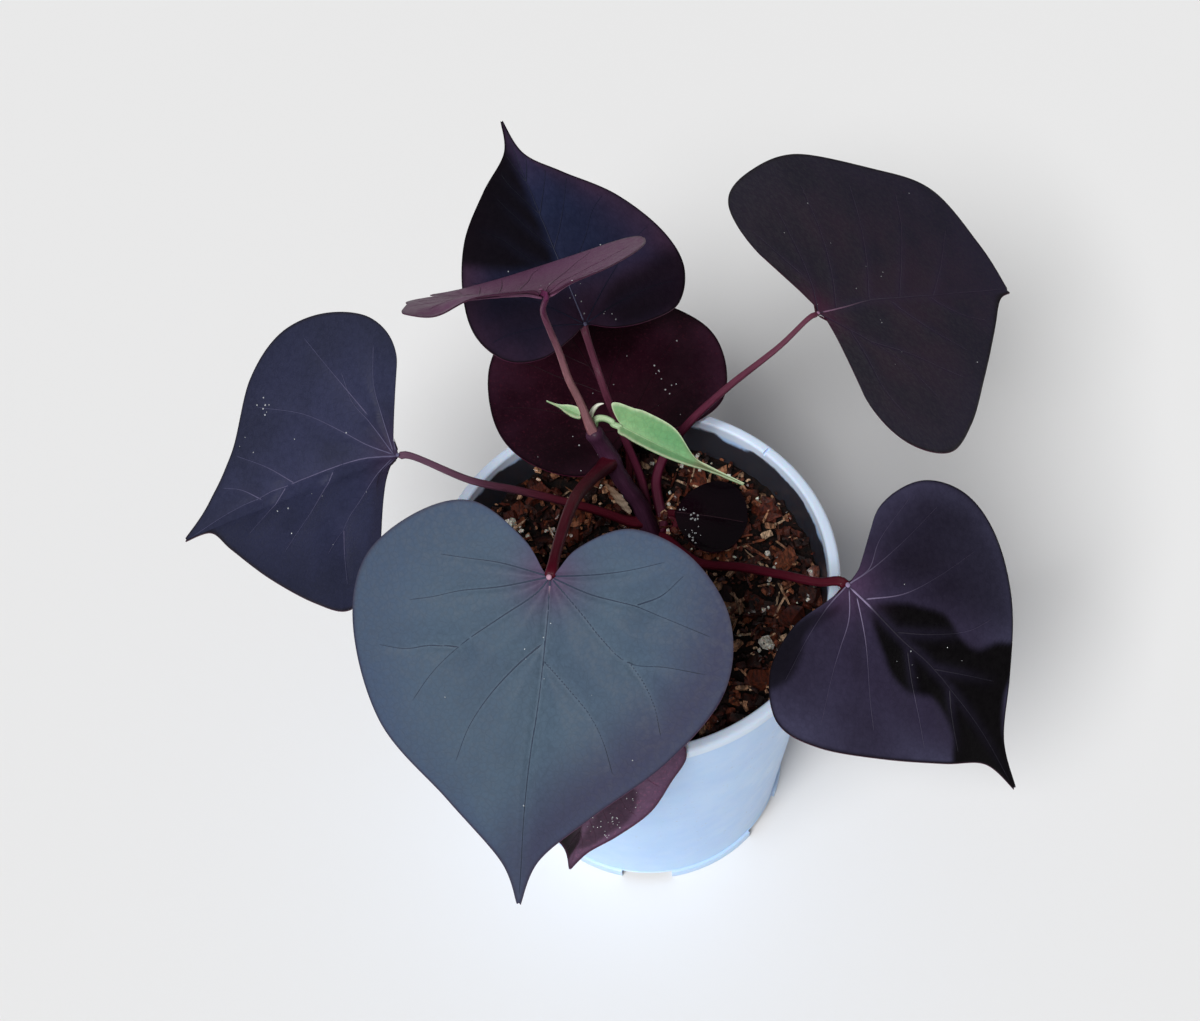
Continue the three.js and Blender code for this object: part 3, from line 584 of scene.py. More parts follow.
# %% The table of leaves
LEAVES = {
    "leaf_front": dict(
        skin=slate, vein=vein_slate, under_vein=vein_wine, slot="slate_leaf", routes=FRONT, left=FRONT_LEFT,
        right=FRONT_RIGHT, at=(-19, -24.6, 148.4), along=(-0.239, -0.75, -0.617),
        facing=(-0.253, -0.566, 0.785), length=74.1, arch=0.11, droop=(0.14, 0.17), sway=0.02, fold=0.06,
        rib=0.5, quilt=1.2, groove=0.8, valley=1.0, proud=0.06, fine=1.5,
        patches=[(9, 0.9, [(-0.15, 0.46), (0.02, 0.6), (0.19, 0.62), (0.37, 0.54), (0.59, 0.37),
                           (0.81, 0.14), (1.02, 0.02), (0.86, -0.05), (0.66, 0.04), (0.46, 0.22),
                           (0.24, 0.4), (0.04, 0.46)])]),
    "leaf_left": dict(
        skin=indigo, vein=vein_lilac, under_vein=vein_wine, slot="indigo_leaf", routes=LEFT, left=INNER_LEFT,
        right=OUTER_LEFT, at=(-52.1, 20.7, 136.4), along=(-0.874, 0.068, -0.481),
        facing=(-0.486, -0.131, 0.864), length=68.2, arch=0.05, droop=(0.19, -0.08), sway=-0.01, fold=0.23,
        rib=0.4, quilt=0.8, valley=0.9,
        patches=[(1.5, 0.35, [(0.04, 0.02), (0, 0.07), (0.03, 0.17), (0.0, 0.35), (0.04, 0.47), (0.08, 0.4),
                              (0.08, 0.24), (0.08, 0.07)])]),
    "leaf_rear": dict(
        skin=navy, vein=vein_navy, under_vein=vein_wine, slot="indigo_leaf", routes=PLAIN, left=REAR_LEFT,
        right=REAR_RIGHT, at=(-4.7, 54.3, 135), along=(-0.269, 0.81, 0.52), facing=(0.459, -0.367, 0.809),
        # this leaf's lobes get the painted sheen and shade of the margins too
        length=54.4, arch=0.05, droop=(0.12, 0.1), sway=-0.01, fold=0.1, rib=0.4, quilt=0.3, lobe_light=0.9,
        patches=[(2, 0.95, [(0.92, 0.05), (0.79, 0.02), (0.61, 0.02), (0.44, 0.02), (0.31, 0.04),
                            (0.32, 0.22), (0.38, 0.41), (0.44, 0.51), (0.55, 0.45), (0.69, 0.32),
                            (0.82, 0.18)]),
                 (3, 0.75, [(0.04, -0.09), (0.13, -0.19), (0.16, -0.37), (0.2, -0.54), (0.11, -0.65),
                            (-0.05, -0.54), (-0.08, -0.34), (-0.07, -0.18)])]),
    "leaf_rear_lower": dict(
        skin=wine, vein=vein_wine, under_vein=vein_wine, slot="wine_leaf", routes=PLAIN, left=LOWER_LEFT,
        right=LOWER_RIGHT, at=(3, 39.9, 109), along=(-0.384, 0.899, 0.209), facing=(0.163, -0.157, 0.974),
        length=55, arch=0.09, droop=(0.05, 0.1), sway=0, fold=0.08, rib=0.35, quilt=0.3,
        patches=[(5, 0.55, [(0.32, -0.33), (0.23, -0.52), (0.01, -0.47), (-0.14, -0.25), (-0.08, -0.02),
                            (-0.14, 0.23), (-0.08, 0.41), (0.07, 0.43), (0.09, 0.10), (0.15, -0.15)])]),
    "leaf_right_rear": dict(
        skin=plum, vein=vein_plum, under_vein=vein_wine, slot="plum_leaf", routes=RIGHT_REAR, left=BROAD_SIDE,
        right=NARROW_SIDE, at=(51.4, 45.3, 140), along=(0.695, 0.391, -0.604), facing=(0.633, 0.067, 0.771),
        length=78.5, arch=-0.19, droop=(0.15, 0.18), sway=0.02, fold=0.08, rib=0.35, quilt=0.2),
    "leaf_right_front": dict(
        skin=plum_violet, vein=vein_violet, under_vein=vein_wine, slot="plum_leaf", routes=RIGHT_FRONT,
        left=FORE_LEFT, right=FORE_RIGHT, at=(48.7, -17.9, 118), along=(0.575, -0.562, -0.595),
        facing=(0.43, -0.412, 0.803), length=66.7, arch=0.1, droop=(0.13, 0.13), sway=-0.02, fold=0.09,
        rib=0.5, quilt=0.45, fine=1.3,
        patches=[(1.3, 1, [(0.11, 0.02), (0.18, 0.1), (0.26, 0.16), (0.35, 0.21), (0.47, 0.2), (0.53, 0.22),
                           (0.58, 0.31), (0.66, 0.36), (0.74, 0.18), (0.82, 0.1), (1.02, 0.01), (1, -0.04),
                           (0.86, -0.08), (0.74, -0.15), (0.66, -0.07), (0.52, -0.04), (0.43, -0.1),
                           (0.33, -0.11), (0.26, -0.08), (0.18, -0.04)]),
                 (7, 0.6, [(0.01, 0.07), (-0.03, 0.37), (0.1, 0.57), (0.41, 0.56), (0.6, 0.39), (0.35, 0.23),
                           (0.15, 0.15)]),
                 (1.3, 0.8, [(0.02, -0.07), (-0.06, -0.23), (-0.09, -0.4), (-0.01, -0.52), (0.04, -0.42),
                             (0.02, -0.32), (-0.01, -0.26), (0.01, -0.18), (0.03, -0.1)])]),
    "leaf_young": dict(
        skin=mauve, vein=vein_mauve, under_vein=vein_mauve, slot="mauve_leaf", routes=PLAIN, left=YOUNG_LEFT,
        right=YOUNG_RIGHT, at=(-13.3, 21.8, 188.5), along=(-0.521, 0.557, -0.647),
        facing=(-0.067, 0.729, 0.681), length=51.9, arch=-0.03, droop=(0.27, -0.32), sway=-0.01, fold=0.1,
        rib=0.4, quilt=0.4,
        ripples=[(-0.05, 0.52, 0.1, -1.6), (0.0, 0.36, 0.1, 0.8), (-0.02, -0.02, 0.07, -1.2)]),
    "leaf_trailing": dict(
        skin=mauve_wet, vein=vein_mauve, under_vein=vein_mauve, slot="mauve_leaf", routes=PLAIN,
        left=HANGING_LEFT, right=ROUND_SIDE, at=(-11.7, -47.2, 114.9), along=(-0.298, -0.656, -0.693),
        facing=(0.162, -0.75, 0.641), length=36, arch=0.3, droop=(0.19, 0.16), sway=0, fold=0.02, rib=0.35,
        quilt=0.4,
        patches=[(0.5, 1, [(0.67, -0.17), (1.02, -0.07), (0.86, -0.01), (0.74, 0.02), (0.6, -0.05)]),
                 (0.8, 0.62, [(0.84, 0.0), (0.64, 0.05), (0.48, 0.1), (0.3, 0.2), (0.36, 0.3), (0.56, 0.3),
                             (0.68, 0.19), (0.79, 0.1)])]),
    "leaf_low": dict(
        skin=shaded_wet_wine, vein=vein_wine, under_vein=vein_wine, slot="wine_leaf", routes=PLAIN[:1],
        left=BLUNT_SIDE, right=BLUNT_SIDE, at=(12.4, 20.7, 97.6), along=(0.945, -0.31, 0.1),
        facing=(-0.1, -0.05, 0.99),
        length=18.6, arch=0.25, droop=(0.3, 0.3), sway=0, fold=0.12, rib=0.15, quilt=0.2),
    "leaf_green": dict(
        skin=young_green, vein=vein_green, under_vein=vein_green, slot="green_leaf", routes=PLAIN[:1],
        left=GREEN_LEFT, right=GREEN_RIGHT, at=(1, 26.6, 129.3), along=(0.819, -0.398, -0.414),
        facing=(0.336, -0.261, 0.905), length=32.9, arch=-0.11, droop=(0.23, 0.07), sway=0.02, fold=0.23,
        rib=0.22, quilt=0.2,
        patches=[(2, 0.85, [(0.5, 0.1), (0.75, 0.05), (1.02, 0.02), (1.02, -0.02), (0.75, -0.05), (0.5, -0.1),
                            (0.6, 0)])]),
    "leaf_tiny": dict(
        skin=young_green, vein=vein_green, under_vein=vein_green, slot="green_leaf", routes=PLAIN[:1],
        left=LONG_TAILED, right=LONG_TAILED, at=(-8.6, 30.6, 130.5), along=(-0.87, 0.38, 0.3),
        facing=(0.2, -0.3, 0.93), length=8.6, arch=0, droop=(0, 0), sway=0, fold=0.3, rib=0.15, quilt=0.05),
}
print(len(LEAVES), "leaves, the longest", max(leaf["length"] for leaf in LEAVES.values()), "mm")


# %% Bend a flat leaf
def curled_strip(distance, angle, curl):
    k = np.where(np.abs(curl) < 1e-6, 1e-6, curl)
    turn = angle - k * distance
    return (np.sin(angle) - np.sin(turn)) / k, (np.cos(turn) - np.cos(angle)) / k


def leaf_axes(leaf):
    forward = unit(leaf["along"])
    up = unit(np.array(leaf["facing"]) - forward * np.dot(leaf["facing"], forward))
    return np.stack([forward, np.cross(up, forward), up])


def on_leaf(leaf, u, v, lift=0.0):
    """Places in metres of (u, v) on the curled leaf's upper side, lifted by lift mm."""
    size = leaf["length"]
    droop = np.where(v >= 0, *leaf["droop"]) / size
    ahead, dip = curled_strip(u * size, 0.0, leaf["arch"] / size)
    out, rise = curled_strip(np.abs(v) * size, leaf["fold"], droop)
    sideways = np.sign(v) * out + leaf["sway"] * np.maximum(u, 0) ** 2 * size
    local = np.stack([ahead, sideways, dip + rise + lift], -1)
    return (np.array(leaf["at"]) + local @ leaf_axes(leaf)) * MM


for name, leaf in LEAVES.items():
    tip = on_leaf(leaf, np.array([1.0]), np.array([0.0]))[0]
    print(name, "has its tip at", [round(float(c) / MM, 1) for c in tip], "mm")


# %% [markdown]
# ## Relief
#
# Between its veins a blade swells into soft pillows, and the veins lie in shallow valleys. The
# same function gives the relief anywhere on the leaf, so that the blade, the veins and the water
# drops all agree. It needs the distance to the nearest vein, which is measured on the flat leaf.

# %% Inside or outside
OUTLINE_STEPS = 80


def half_outline(leaf, side):
    return through_stations(leaf["left" if side > 0 else "right"], np.linspace(0, 1, OUTLINE_STEPS))


def inside_line(line, u, v):
    """True where (u, v) lies within a closed line, found by counting how often it is crossed."""
    a, b = line, np.roll(line, -1, 0)
    crosses = (a[:, 1] > v[:, None]) != (b[:, 1] > v[:, None])
    rise = np.where(np.abs(b[:, 1] - a[:, 1]) < 1e-9, 1e-9, b[:, 1] - a[:, 1])
    at = a[:, 0] + (v[:, None] - a[:, 1]) / rise * (b[:, 0] - a[:, 0])
    return (crosses & (u[:, None] < at)).sum(1) % 2 == 1


def inside_leaf(leaf, u, v):
    inside = np.zeros(len(u), bool)
    for side in (1, -1):
        line = np.vstack([half_outline(leaf, side), [[1, 0], [0, 0]]])
        inside |= inside_line(line, u, side * v) & (side * v >= 0)
    return inside


# %% Vein paths
VEIN_STEPS = 30
LARGE_VEIN, SMALL_VEIN, VEIN_END = 1.0, 0.72, 0.05


def veins_of(leaf):
    """Every vein as (route of (u, v), strength at its start, strength at its end)."""
    veins = []
    for order, route in enumerate(leaf["routes"]):
        path = smooth_route(route, VEIN_STEPS)
        keep = inside_leaf(leaf, path[:, 0] * 1.03, path[:, 1] * 1.06)
        if order and not keep[3:].all():
            path = path[:max(6, 3 + int(np.argmin(keep[3:])))]
        veins.append((path, SMALL_VEIN if order else LARGE_VEIN, VEIN_END))
    return veins


def segments_of(leaf):
    """All veins as short straight pieces: their starts and steps in mm, and their strengths."""
    size = leaf["length"]
    pieces = [(path[:-1] * size, np.diff(path, axis=0) * size, np.linspace(start, end, len(path) - 1))
              for path, start, end in leaf["veins"]]
    return [np.concatenate(part) for part in zip(*pieces)]


for name, leaf in LEAVES.items():
    leaf["veins"] = veins_of(leaf)
    leaf["segments"] = segments_of(leaf)
    print(name, "has", len(leaf["veins"]), "veins")


# %% Relief and shaded patches
GLOW_REACH, HOLLOW_REACH = 1.5, 4.5  # mm
ROWS_AT_ONCE = 900


def relief(leaf, u, v):
    """Height of the relief in mm, and how close each place is to a vein, from 0 to 1."""
    size = leaf["length"]
    starts, steps, strengths = leaf["segments"]
    valley, glow, hollow = np.zeros(len(u)), np.zeros(len(u)), np.zeros(len(u))
    for part in np.array_split(np.arange(len(u)), len(u) // ROWS_AT_ONCE + 1):
        if not len(part):
            continue
        away = np.stack([u[part], v[part]], 1)[:, None] * size - starts
        t = np.clip((away * steps).sum(2) / np.maximum((steps**2).sum(1), 1e-9), 0, 1)
        gap = np.linalg.norm(away - t[..., None] * steps, axis=2)
        valley[part] = (strengths * np.exp(-((gap / leaf.get("groove", 1.0)) ** 2))).max(1)
        glow[part] = (strengths * np.exp(-((gap / GLOW_REACH) ** 2))).max(1)
        hollow[part] = (np.minimum(1, 1.3 * strengths) * np.exp(-((gap / HOLLOW_REACH) ** 2))).max(1)
    rim_wave = np.minimum(np.hypot(u - 0.3, v) / 0.6, 1) ** 3
    turn = np.arctan2(v, u - 0.3)
    waves = 0.6 * np.sin(5 * turn + size) + 0.4 * np.sin(9 * turn + 2 * size)
    height = leaf["quilt"] * (1.3 * (1 - hollow) - leaf.get("valley", 0.45) * valley
                              + 0.4 * rim_wave * waves)
    for at_u, at_v, reach, lift in leaf.get("ripples", []):
        height += lift * np.exp(-((u - at_u) ** 2 + (v - at_v) ** 2) / reach**2)
    return height, glow


def patch_mask(leaf, u, v):
    """How far each place lies inside the leaf's shaded patches, from 0 to 1."""
    mask = np.zeros(len(u))
    for soft, strength, corners in leaf.get("patches", []):
        line = smooth_route([*corners, corners[0]], 14 * len(corners))
        gap = np.hypot(u[:, None] - line[:, 0], v[:, None] - line[:, 1]).min(1) * leaf["length"]
        depth = np.where(inside_line(line, u, v), gap, -gap)
        share = np.clip(0.5 + 0.5 * depth / soft, 0, 1)
        mask = np.maximum(mask, strength * share * share * (3 - 2 * share))
    return mask


# %% [markdown]
# ## Blades
#
# The grid is laid onto the leaf, then `bmesh.ops.solidify` gives it its half millimetre of
# thickness. Five masks for the leaf skin are written per vertex before that. The sixth, `under`,
# is written afterwards, when the lower side's vertices are there.

# %% Make the blades
BLADE_THICK, RIM_WIDTH, SEAT_REACH = 0.5, 0.5, 7  # mm
FULL_ROWS, FULL_COLUMNS, FULL_LENGTH = 44, 140, 60


def make_blade(name, leaf):
    detail = (0.35 + 0.65 * min(1.0, leaf["length"] / FULL_LENGTH)) * leaf.get("fine", 1)
    rows, columns = int(FULL_ROWS * detail), int(FULL_COLUMNS * detail)
    bm = bmesh.new()
    layers = {key: bm.verts.layers.float.new(key)
              for key in ("near_vein", "near_rim", "near_seat", "margin_light", "shaded", "under")}
    bmesh.ops.create_grid(bm, x_segments=2 * rows, y_segments=columns, size=1)
    flat = np.array([vert.co for vert in bm.verts])
    column, share = (flat[:, 1] + 1) / 2, np.abs(flat[:, 0])
    rib = through_stations([[u, 0] for u in RIB], column)
    left, right = (through_stations(leaf[side], column) for side in ("left", "right"))
    edge = np.where(flat[:, :1] < 0, left * [1, 1], right * [1, -1])
    u = rib[:, 0] + (edge[:, 0] - rib[:, 0]) * share
    v = edge[:, 1] * share
    height, glow = relief(leaf, u, v)
    places = on_leaf(leaf, u, v, height)
    to_rim = (1 - share) * np.abs(edge[:, 1]) * leaf["length"]
    # painted sheen and shade, growing towards the margins and, on some leaves, over the lobes
    margin_light = np.clip((np.maximum(share, np.hypot(u - 0.3, v) / 0.7) - 0.35) / 0.6, 0, 1) ** 1.5
    masks = {"near_vein": glow, "near_rim": np.exp(-((to_rim / RIM_WIDTH) ** 2)),
             "near_seat": np.exp(-((np.hypot(u, v) * leaf["length"] / SEAT_REACH) ** 2)),
             "margin_light": np.maximum(margin_light, leaf.get("lobe_light", 0) * np.clip((0.32 - u) / 0.2, 0, 1)),
             "shaded": patch_mask(leaf, u, v)}
    for i, vert in enumerate(bm.verts):
        vert.co = places[i]
        for key, mask in masks.items():
            vert[layers[key]] = mask[i]
    tops = len(bm.verts)
    bmesh.ops.solidify(bm, geom=bm.faces[:], thickness=BLADE_THICK * MM)
    for i, vert in enumerate(bm.verts):
        vert[layers["under"]] = 0.0 if i < tops else 1.0
    bmesh.ops.recalc_face_normals(bm, faces=bm.faces[:])
    return finish_piece(f"{name}_blade", bm, [leaf["skin"]], [name], sharp=80)


for name, leaf in LEAVES.items():
    make_blade(name, leaf)


# %% [markdown]
# ## One sweep for all long things
#
# Veins, leaf stalks and the stem are all a section swept along a route. A grid has the right
# loops already: its x runs round the section and its y along the route, and welding closes the
# seam. Where the radius falls to nothing the ring welds to a point, which closes the end;
# `close_ends` fills the ends that stay open.

# %% The sweep
def sweep(bm, layers, centres, wide, tall, upward, sides, groove=0.0, fullest=0.0, shaded=None):
    """Sweeps an ellipse along centres (metres). wide and tall are its half sizes at each centre."""
    steps = len(centres) - 1
    tangents = unit(np.gradient(centres, axis=0))
    ups = unit(upward - tangents * np.sum(upward * tangents, 1, keepdims=True))
    across = np.cross(tangents, ups)
    made = bmesh.ops.create_grid(bm, x_segments=sides, y_segments=steps, size=1)["verts"]
    flat = np.array([vert.co for vert in made])
    ring = np.rint((flat[:, 1] + 1) / 2 * steps).astype(int)
    angle = -(flat[:, 0] + 1) * math.pi - math.pi / 2
    dent = 1 - groove * np.exp(-((np.sin(angle) - 1) / 0.12) ** 2)
    places = (centres[ring] + across[ring] * (np.cos(angle) * wide[ring])[:, None]
              + ups[ring] * (np.sin(angle) * dent * tall[ring])[:, None])
    run = np.concatenate([[0], np.cumsum(np.linalg.norm(np.diff(centres, axis=0), axis=1))])
    for i, vert in enumerate(made):
        vert.co = places[i]
        vert[layers["along"]] = run[ring[i]] / 0.1
        vert[layers["share"]] = ring[i] / steps
        vert[layers["around"]] = math.sin(angle[i] * 2)
        # top: how far a place faces upward, which the stalk skin paints as a painted highlight
        vert[layers["top"]] = math.sin(angle[i])
        vert[layers["faint"]] = 1 - wide[ring[i]] / max(wide.max(), fullest)
        vert[layers["shaded"]] = 0.0 if shaded is None else shaded[ring[i]]
    bmesh.ops.remove_doubles(bm, verts=made, dist=1e-7)


def sweep_layers(bm):
    keys = ("along", "share", "around", "top", "faint", "shaded")
    return {key: bm.verts.layers.float.new(key) for key in keys}


def close_ends(bm):
    bmesh.ops.holes_fill(bm, edges=[edge for edge in bm.edges if edge.is_boundary], sides=0)
    bmesh.ops.recalc_face_normals(bm, faces=bm.faces[:])


# %% [markdown]
# ## Veins
#
# Fine lines like these could be painted, but real ones catch the light, and the lower side's
# stand well proud. So each vein is a thin flattened sweep: a fine line along its valley above,
# and a rounded rib below.

# %% Make the veins
VEIN_SIDES, THINNEST, VEIN_TIP = 6, 0.07, 0.02  # the last two are half widths in mm


def leaf_normals(leaf, u, v):
    step = 0.004
    du = on_leaf(leaf, u + step, v) - on_leaf(leaf, u - step, v)
    dv = on_leaf(leaf, u, v + step) - on_leaf(leaf, u, v - step)
    return unit(np.cross(du, dv))


def add_seat(bm, leaf, normal):
    """The little knot on the upper side where all veins meet."""
    place = Matrix.Translation(on_leaf(leaf, np.array([0.0]), np.array([0.0]), 0.1)[0])
    face_up = Vector(normal).to_track_quat("Z", "Y").to_matrix().to_4x4()
    wide = 1.3 * leaf["rib"] * MM
    bmesh.ops.create_uvsphere(bm, u_segments=12, v_segments=8, radius=1,
                              matrix=place @ face_up @ Matrix.Diagonal((wide, wide, 0.5 * wide, 1)))


def make_veins(name, leaf):
    bm = bmesh.new()
    layers = sweep_layers(bm)
    paths = np.concatenate([path for path, _, _ in leaf["veins"]])
    heights = relief(leaf, paths[:, 0], paths[:, 1])[0]
    normals = leaf_normals(leaf, paths[:, 0], paths[:, 1])
    shaded = patch_mask(leaf, paths[:, 0], paths[:, 1])
    for under in (False, True):
        first = len(bm.faces)
        done = 0
        for path, start, end in leaf["veins"]:
            own = slice(done, done + len(path))
            done += len(path)
            half = leaf["rib"] * np.linspace(start, end, len(path)) * (1.25 if under else 0.6)
            half = np.maximum(half, THINNEST)
            half[[0, -1]] = VEIN_TIP
            lift = heights[own] + leaf.get("proud", 0.07)
            if under:
                lift = heights[own] - BLADE_THICK - 0.25 * half
            centres = on_leaf(leaf, path[:, 0], path[:, 1], lift)
            tall = half * (0.9 if under else 0.4)
            sweep(bm, layers, centres, half * MM, tall * MM, normals[own], VEIN_SIDES,
                  fullest=0.6 * leaf["rib"] * MM, shaded=shaded[own])
        if not under:
            add_seat(bm, leaf, normals[0])
        bm.faces.ensure_lookup_table()
        for face in bm.faces[first:]:
            face.material_index = int(under)
    close_ends(bm)
    materials = [leaf["vein"], leaf["under_vein"]]
    return finish_piece(f"{name}_veins", bm, materials, sharp=80)


for name, leaf in LEAVES.items():
    make_veins(name, leaf)

# %% [markdown]
# ## Leaf stalks and the stem
#
# A leaf stalk is thicker where it leaves the stem, a little waisted in the middle, and thickens
# again into a soft joint under its leaf. Its upper side carries a groove. The routes start inside
# the stem, so that each stalk grows out of it instead of standing against it. Each row gives the
# leaf, the radius at both ends, the material, the slot and the route, in millimetres.

# %% Stalk routes
STEM_ROUTE = [(7.2, 15.8, 80), (7, 16.2, 90), (5.2, 18.3, 97), (3.7, 20.5, 103), (-0.1, 23.3, 111),
              (-3.4, 27.3, 119), (-6.2, 28.7, 126.5)]
STALKS = {
    "stalk_front": ("leaf_front", (1.8, 1.15), burgundy, "stalk",
                    [(-2.6, 25.6, 116), (-4, 23, 118), (-7.5, 15.3, 125), (-12, 2.5, 136),
                     (-16, -12.5, 144)]),
    "stalk_left": ("leaf_left", (1.25, 0.75), grey_stalk, "stalk",
                   [(4.4, 18.6, 98), (1.4, 17.9, 99.6), (-6.4, 17.4, 107), (-13.5, 17, 113), (-25, 16.9, 121),
                    (-36.1, 16.5, 128.5)]),
    "stalk_rear": ("leaf_rear", (1.2, 0.85), rose_stalk, "stalk",
                   [(5, 19.5, 97.5), (5.3, 22.8, 99.5), (4.8, 27.6, 104), (1.9, 33.8, 113), (-0.9, 38.5, 122),
                    (-2.7, 43.5, 128)]),
    "stalk_rear_lower": ("leaf_rear_lower", (1.1, 0.9), burgundy, "stalk",
                         [(4, 19.8, 98.5), (2.9, 22.9, 99.5), (1.9, 27.5, 102), (2.4, 32, 104.5),
                          (2.9, 36.4, 106)]),
    "stalk_right_rear": ("leaf_right_rear", (1.5, 0.55), rose_stalk, "stalk",
                         [(6.6, 17, 93.5), (9.1, 19.9, 94.6), (8.6, 24.5, 98), (8.8, 28.5, 102),
                          (12.5, 32.9, 108), (18.5, 35.5, 115), (28.1, 37.3, 125), (41.5, 40.9, 134.5)]),
    "stalk_right_front": ("leaf_right_front", (1.25, 1.05), burgundy, "stalk",
                          [(6.6, 16.8, 93), (9.1, 14.7, 94.8), (16.5, 1.9, 102.5), (25.5, -4.1, 108.5),
                           (34.2, -10, 113), (42.8, -14.9, 115.6)]),
    "stalk_young": ("leaf_young", (1.05, 0.6), pink_tan, "young_stalk",
                    [(-5.8, 28.5, 125), (-6.4, 28.6, 128), (-8.1, 28.7, 138), (-10, 27.9, 148),
                     (-11.4, 27.1, 160), (-12.7, 25.4, 170), (-13.6, 23.2, 180)]),
    "stalk_trailing": ("leaf_trailing", (1.1, 0.9), burgundy, "stalk",
                       [(6.8, 16.4, 92.5), (5.4, 12.6, 94.6), (2, -5, 100), (-4, -26, 107),
                        (-9.5, -40, 112)]),
    "stalk_low": ("leaf_low", (0.85, 0.75), burgundy, "stalk",
                  [(7.5, 17, 92.5), (11, 17, 94.2), (12.4, 18.6, 95.2)]),
    "stalk_green": ("leaf_green", (0.75, 0.6), pale_green, "green_leaf",
                    [(-5.6, 29.6, 125.6), (-5, 30.2, 127.6), (-3.9, 29.8, 129), (-2.4, 28.9, 129.7),
                     (-1, 27.9, 129.5)]),
}
print(len(STALKS), "stalks")


# %% Make the stalks
STALK_RINGS, STALK_SIDES, STALK_GROOVE = 64, 20, 0.22


def bulge(share, centre, width, amount):
    return amount * np.exp(-(((share - centre) / width) ** 2))


def make_stalk(name, leaf_name, radii, material, route):
    leaf = LEAVES[leaf_name]
    seat = np.array([0.012]), np.array([0.0])
    root, tip = radii
    end = on_leaf(leaf, *seat, -0.25 - 0.5 * tip)[0] / MM
    before = on_leaf(leaf, seat[0] - 2.2 / leaf["length"], seat[1], -0.5 - tip)[0] / MM
    centres = smooth_route([*route, tuple(before), tuple(end)], STALK_RINGS) * MM
    share = np.linspace(0, 1, STALK_RINGS)
    run = np.linalg.norm(np.diff(centres, axis=0), axis=1).sum() / MM
    size = root + (tip - root) * share
    size *= 1 + bulge(share, 0, 6 / run, 0.35) + bulge(share, 1, 3.5 / run, 0.25)
    size[-1] = 0
    bm = bmesh.new()
    upward = np.tile([-0.12, -0.35, 1.0], (STALK_RINGS, 1))
    sweep(bm, sweep_layers(bm), centres, size * MM, size * MM, upward, STALK_SIDES, groove=STALK_GROOVE)
    close_ends(bm)
    return finish_piece(f"{name}_skin", bm, [material], [name], sharp=80)


for name, (leaf_name, radii, material, slot, route) in STALKS.items():
    make_stalk(name, leaf_name, radii, material, route)


# %% Make the stem
STEM_RADIUS, STEM_RINGS, STEM_SIDES, STEM_GROOVE = 2.15, 90, 28, 0.08
# where each knot of the stem sits along it, how far it reaches, and how much it adds in mm
STEM_KNOTS = [(0.36, 0.05, 0.35), (0.24, 0.06, 0.5), (0.78, 0.04, 0.4), (0.97, 0.04, 0.1)]


def make_stem():
    centres = smooth_route(STEM_ROUTE, STEM_RINGS) * MM
    share = np.linspace(0, 1, STEM_RINGS)
    size = STEM_RADIUS + sum(bulge(share, *knot) for knot in STEM_KNOTS) + 0.05 * np.sin(share * 60)
    size[-3:] = (2.0, 1.5, 0)
    bm = bmesh.new()
    upward = np.tile([-0.5, -0.8, 0.3], (STEM_RINGS, 1))
    sweep(bm, sweep_layers(bm), centres, size * MM, size * MM, upward, STEM_SIDES, groove=STEM_GROOVE)
    close_ends(bm)
    return finish_piece("main_stem_skin", bm, [stem_purple], ["main_stem"], sharp=80)


make_stem()

# %% [markdown]
# ## The growing tip
#
# At the stem's end sit a pale crescent bud and a scrap of dry sheath. The bud is a short sweep
# that tapers to both ends; the sheath is a small curled strip, thickened like a blade.

# %% Make the bud and the sheath
BUD_RINGS, BUD_SIDES = 24, 16
BUD_ROUTE = [(-6.1, 30.2, 126.6), (-6, 30.8, 128.6), (-5.2, 31.4, 130.5), (-3.9, 31.6, 132),
             (-2.4, 31.2, 132.9)]
SHEATH_STEPS, SHEATH_THICK = 29, 0.15
SHEATH_ROUTE = [(1, 18.4, 103.4), (-0.6, 19.6, 106), (-2.4, 21.2, 109), (-4.2, 22.6, 111.6)]


def make_bud():
    route = smooth_route(BUD_ROUTE, BUD_RINGS)
    share = np.linspace(0, 1, BUD_RINGS)
    size = 0.62 * np.sin(math.pi * (0.15 + 0.85 * share)) ** 0.7
    size[-1] = 0
    bm = bmesh.new()
    upward = np.tile([0.0, -1.0, 0.6], (BUD_RINGS, 1))
    sweep(bm, sweep_layers(bm), route * MM, size * MM, size * MM, upward, BUD_SIDES)
    close_ends(bm)
    return finish_piece("bud_skin", bm, [pale_bud], ["bud"], sharp=80)


def make_sheath():
    route = smooth_route(SHEATH_ROUTE, SHEATH_STEPS + 1)
    tangents = unit(np.gradient(route, axis=0))
    across = unit(np.cross(tangents, [-0.6, -0.7, 0.4]))
    outward = np.cross(across, tangents)
    bm = bmesh.new()
    layers = sweep_layers(bm)
    bmesh.ops.create_grid(bm, x_segments=10, y_segments=SHEATH_STEPS, size=1)
    for vert in bm.verts:
        step = round((vert.co.y + 1) / 2 * SHEATH_STEPS)
        side = vert.co.x
        half = 1.5 * math.sin(math.pi * min(1, 0.12 + step / 33)) + 0.15 * math.sin(step * 1.7)
        rise = 0.5 * (1 - side**2) + 0.12 * math.sin(step * 0.9 + side * 3)
        vert.co = (route[step] + across[step] * side * half + outward[step] * rise) * MM
        vert[layers["along"]], vert[layers["share"]] = step / (10 * SHEATH_STEPS), step / SHEATH_STEPS
        vert[layers["around"]], vert[layers["top"]] = side, rise
    bmesh.ops.solidify(bm, geom=bm.faces[:], thickness=SHEATH_THICK * MM)
    bmesh.ops.recalc_face_normals(bm, faces=bm.faces[:])
    return finish_piece("sheath_skin", bm, [dry_tan], ["sheath"], sharp=60)


make_bud()
make_sheath()
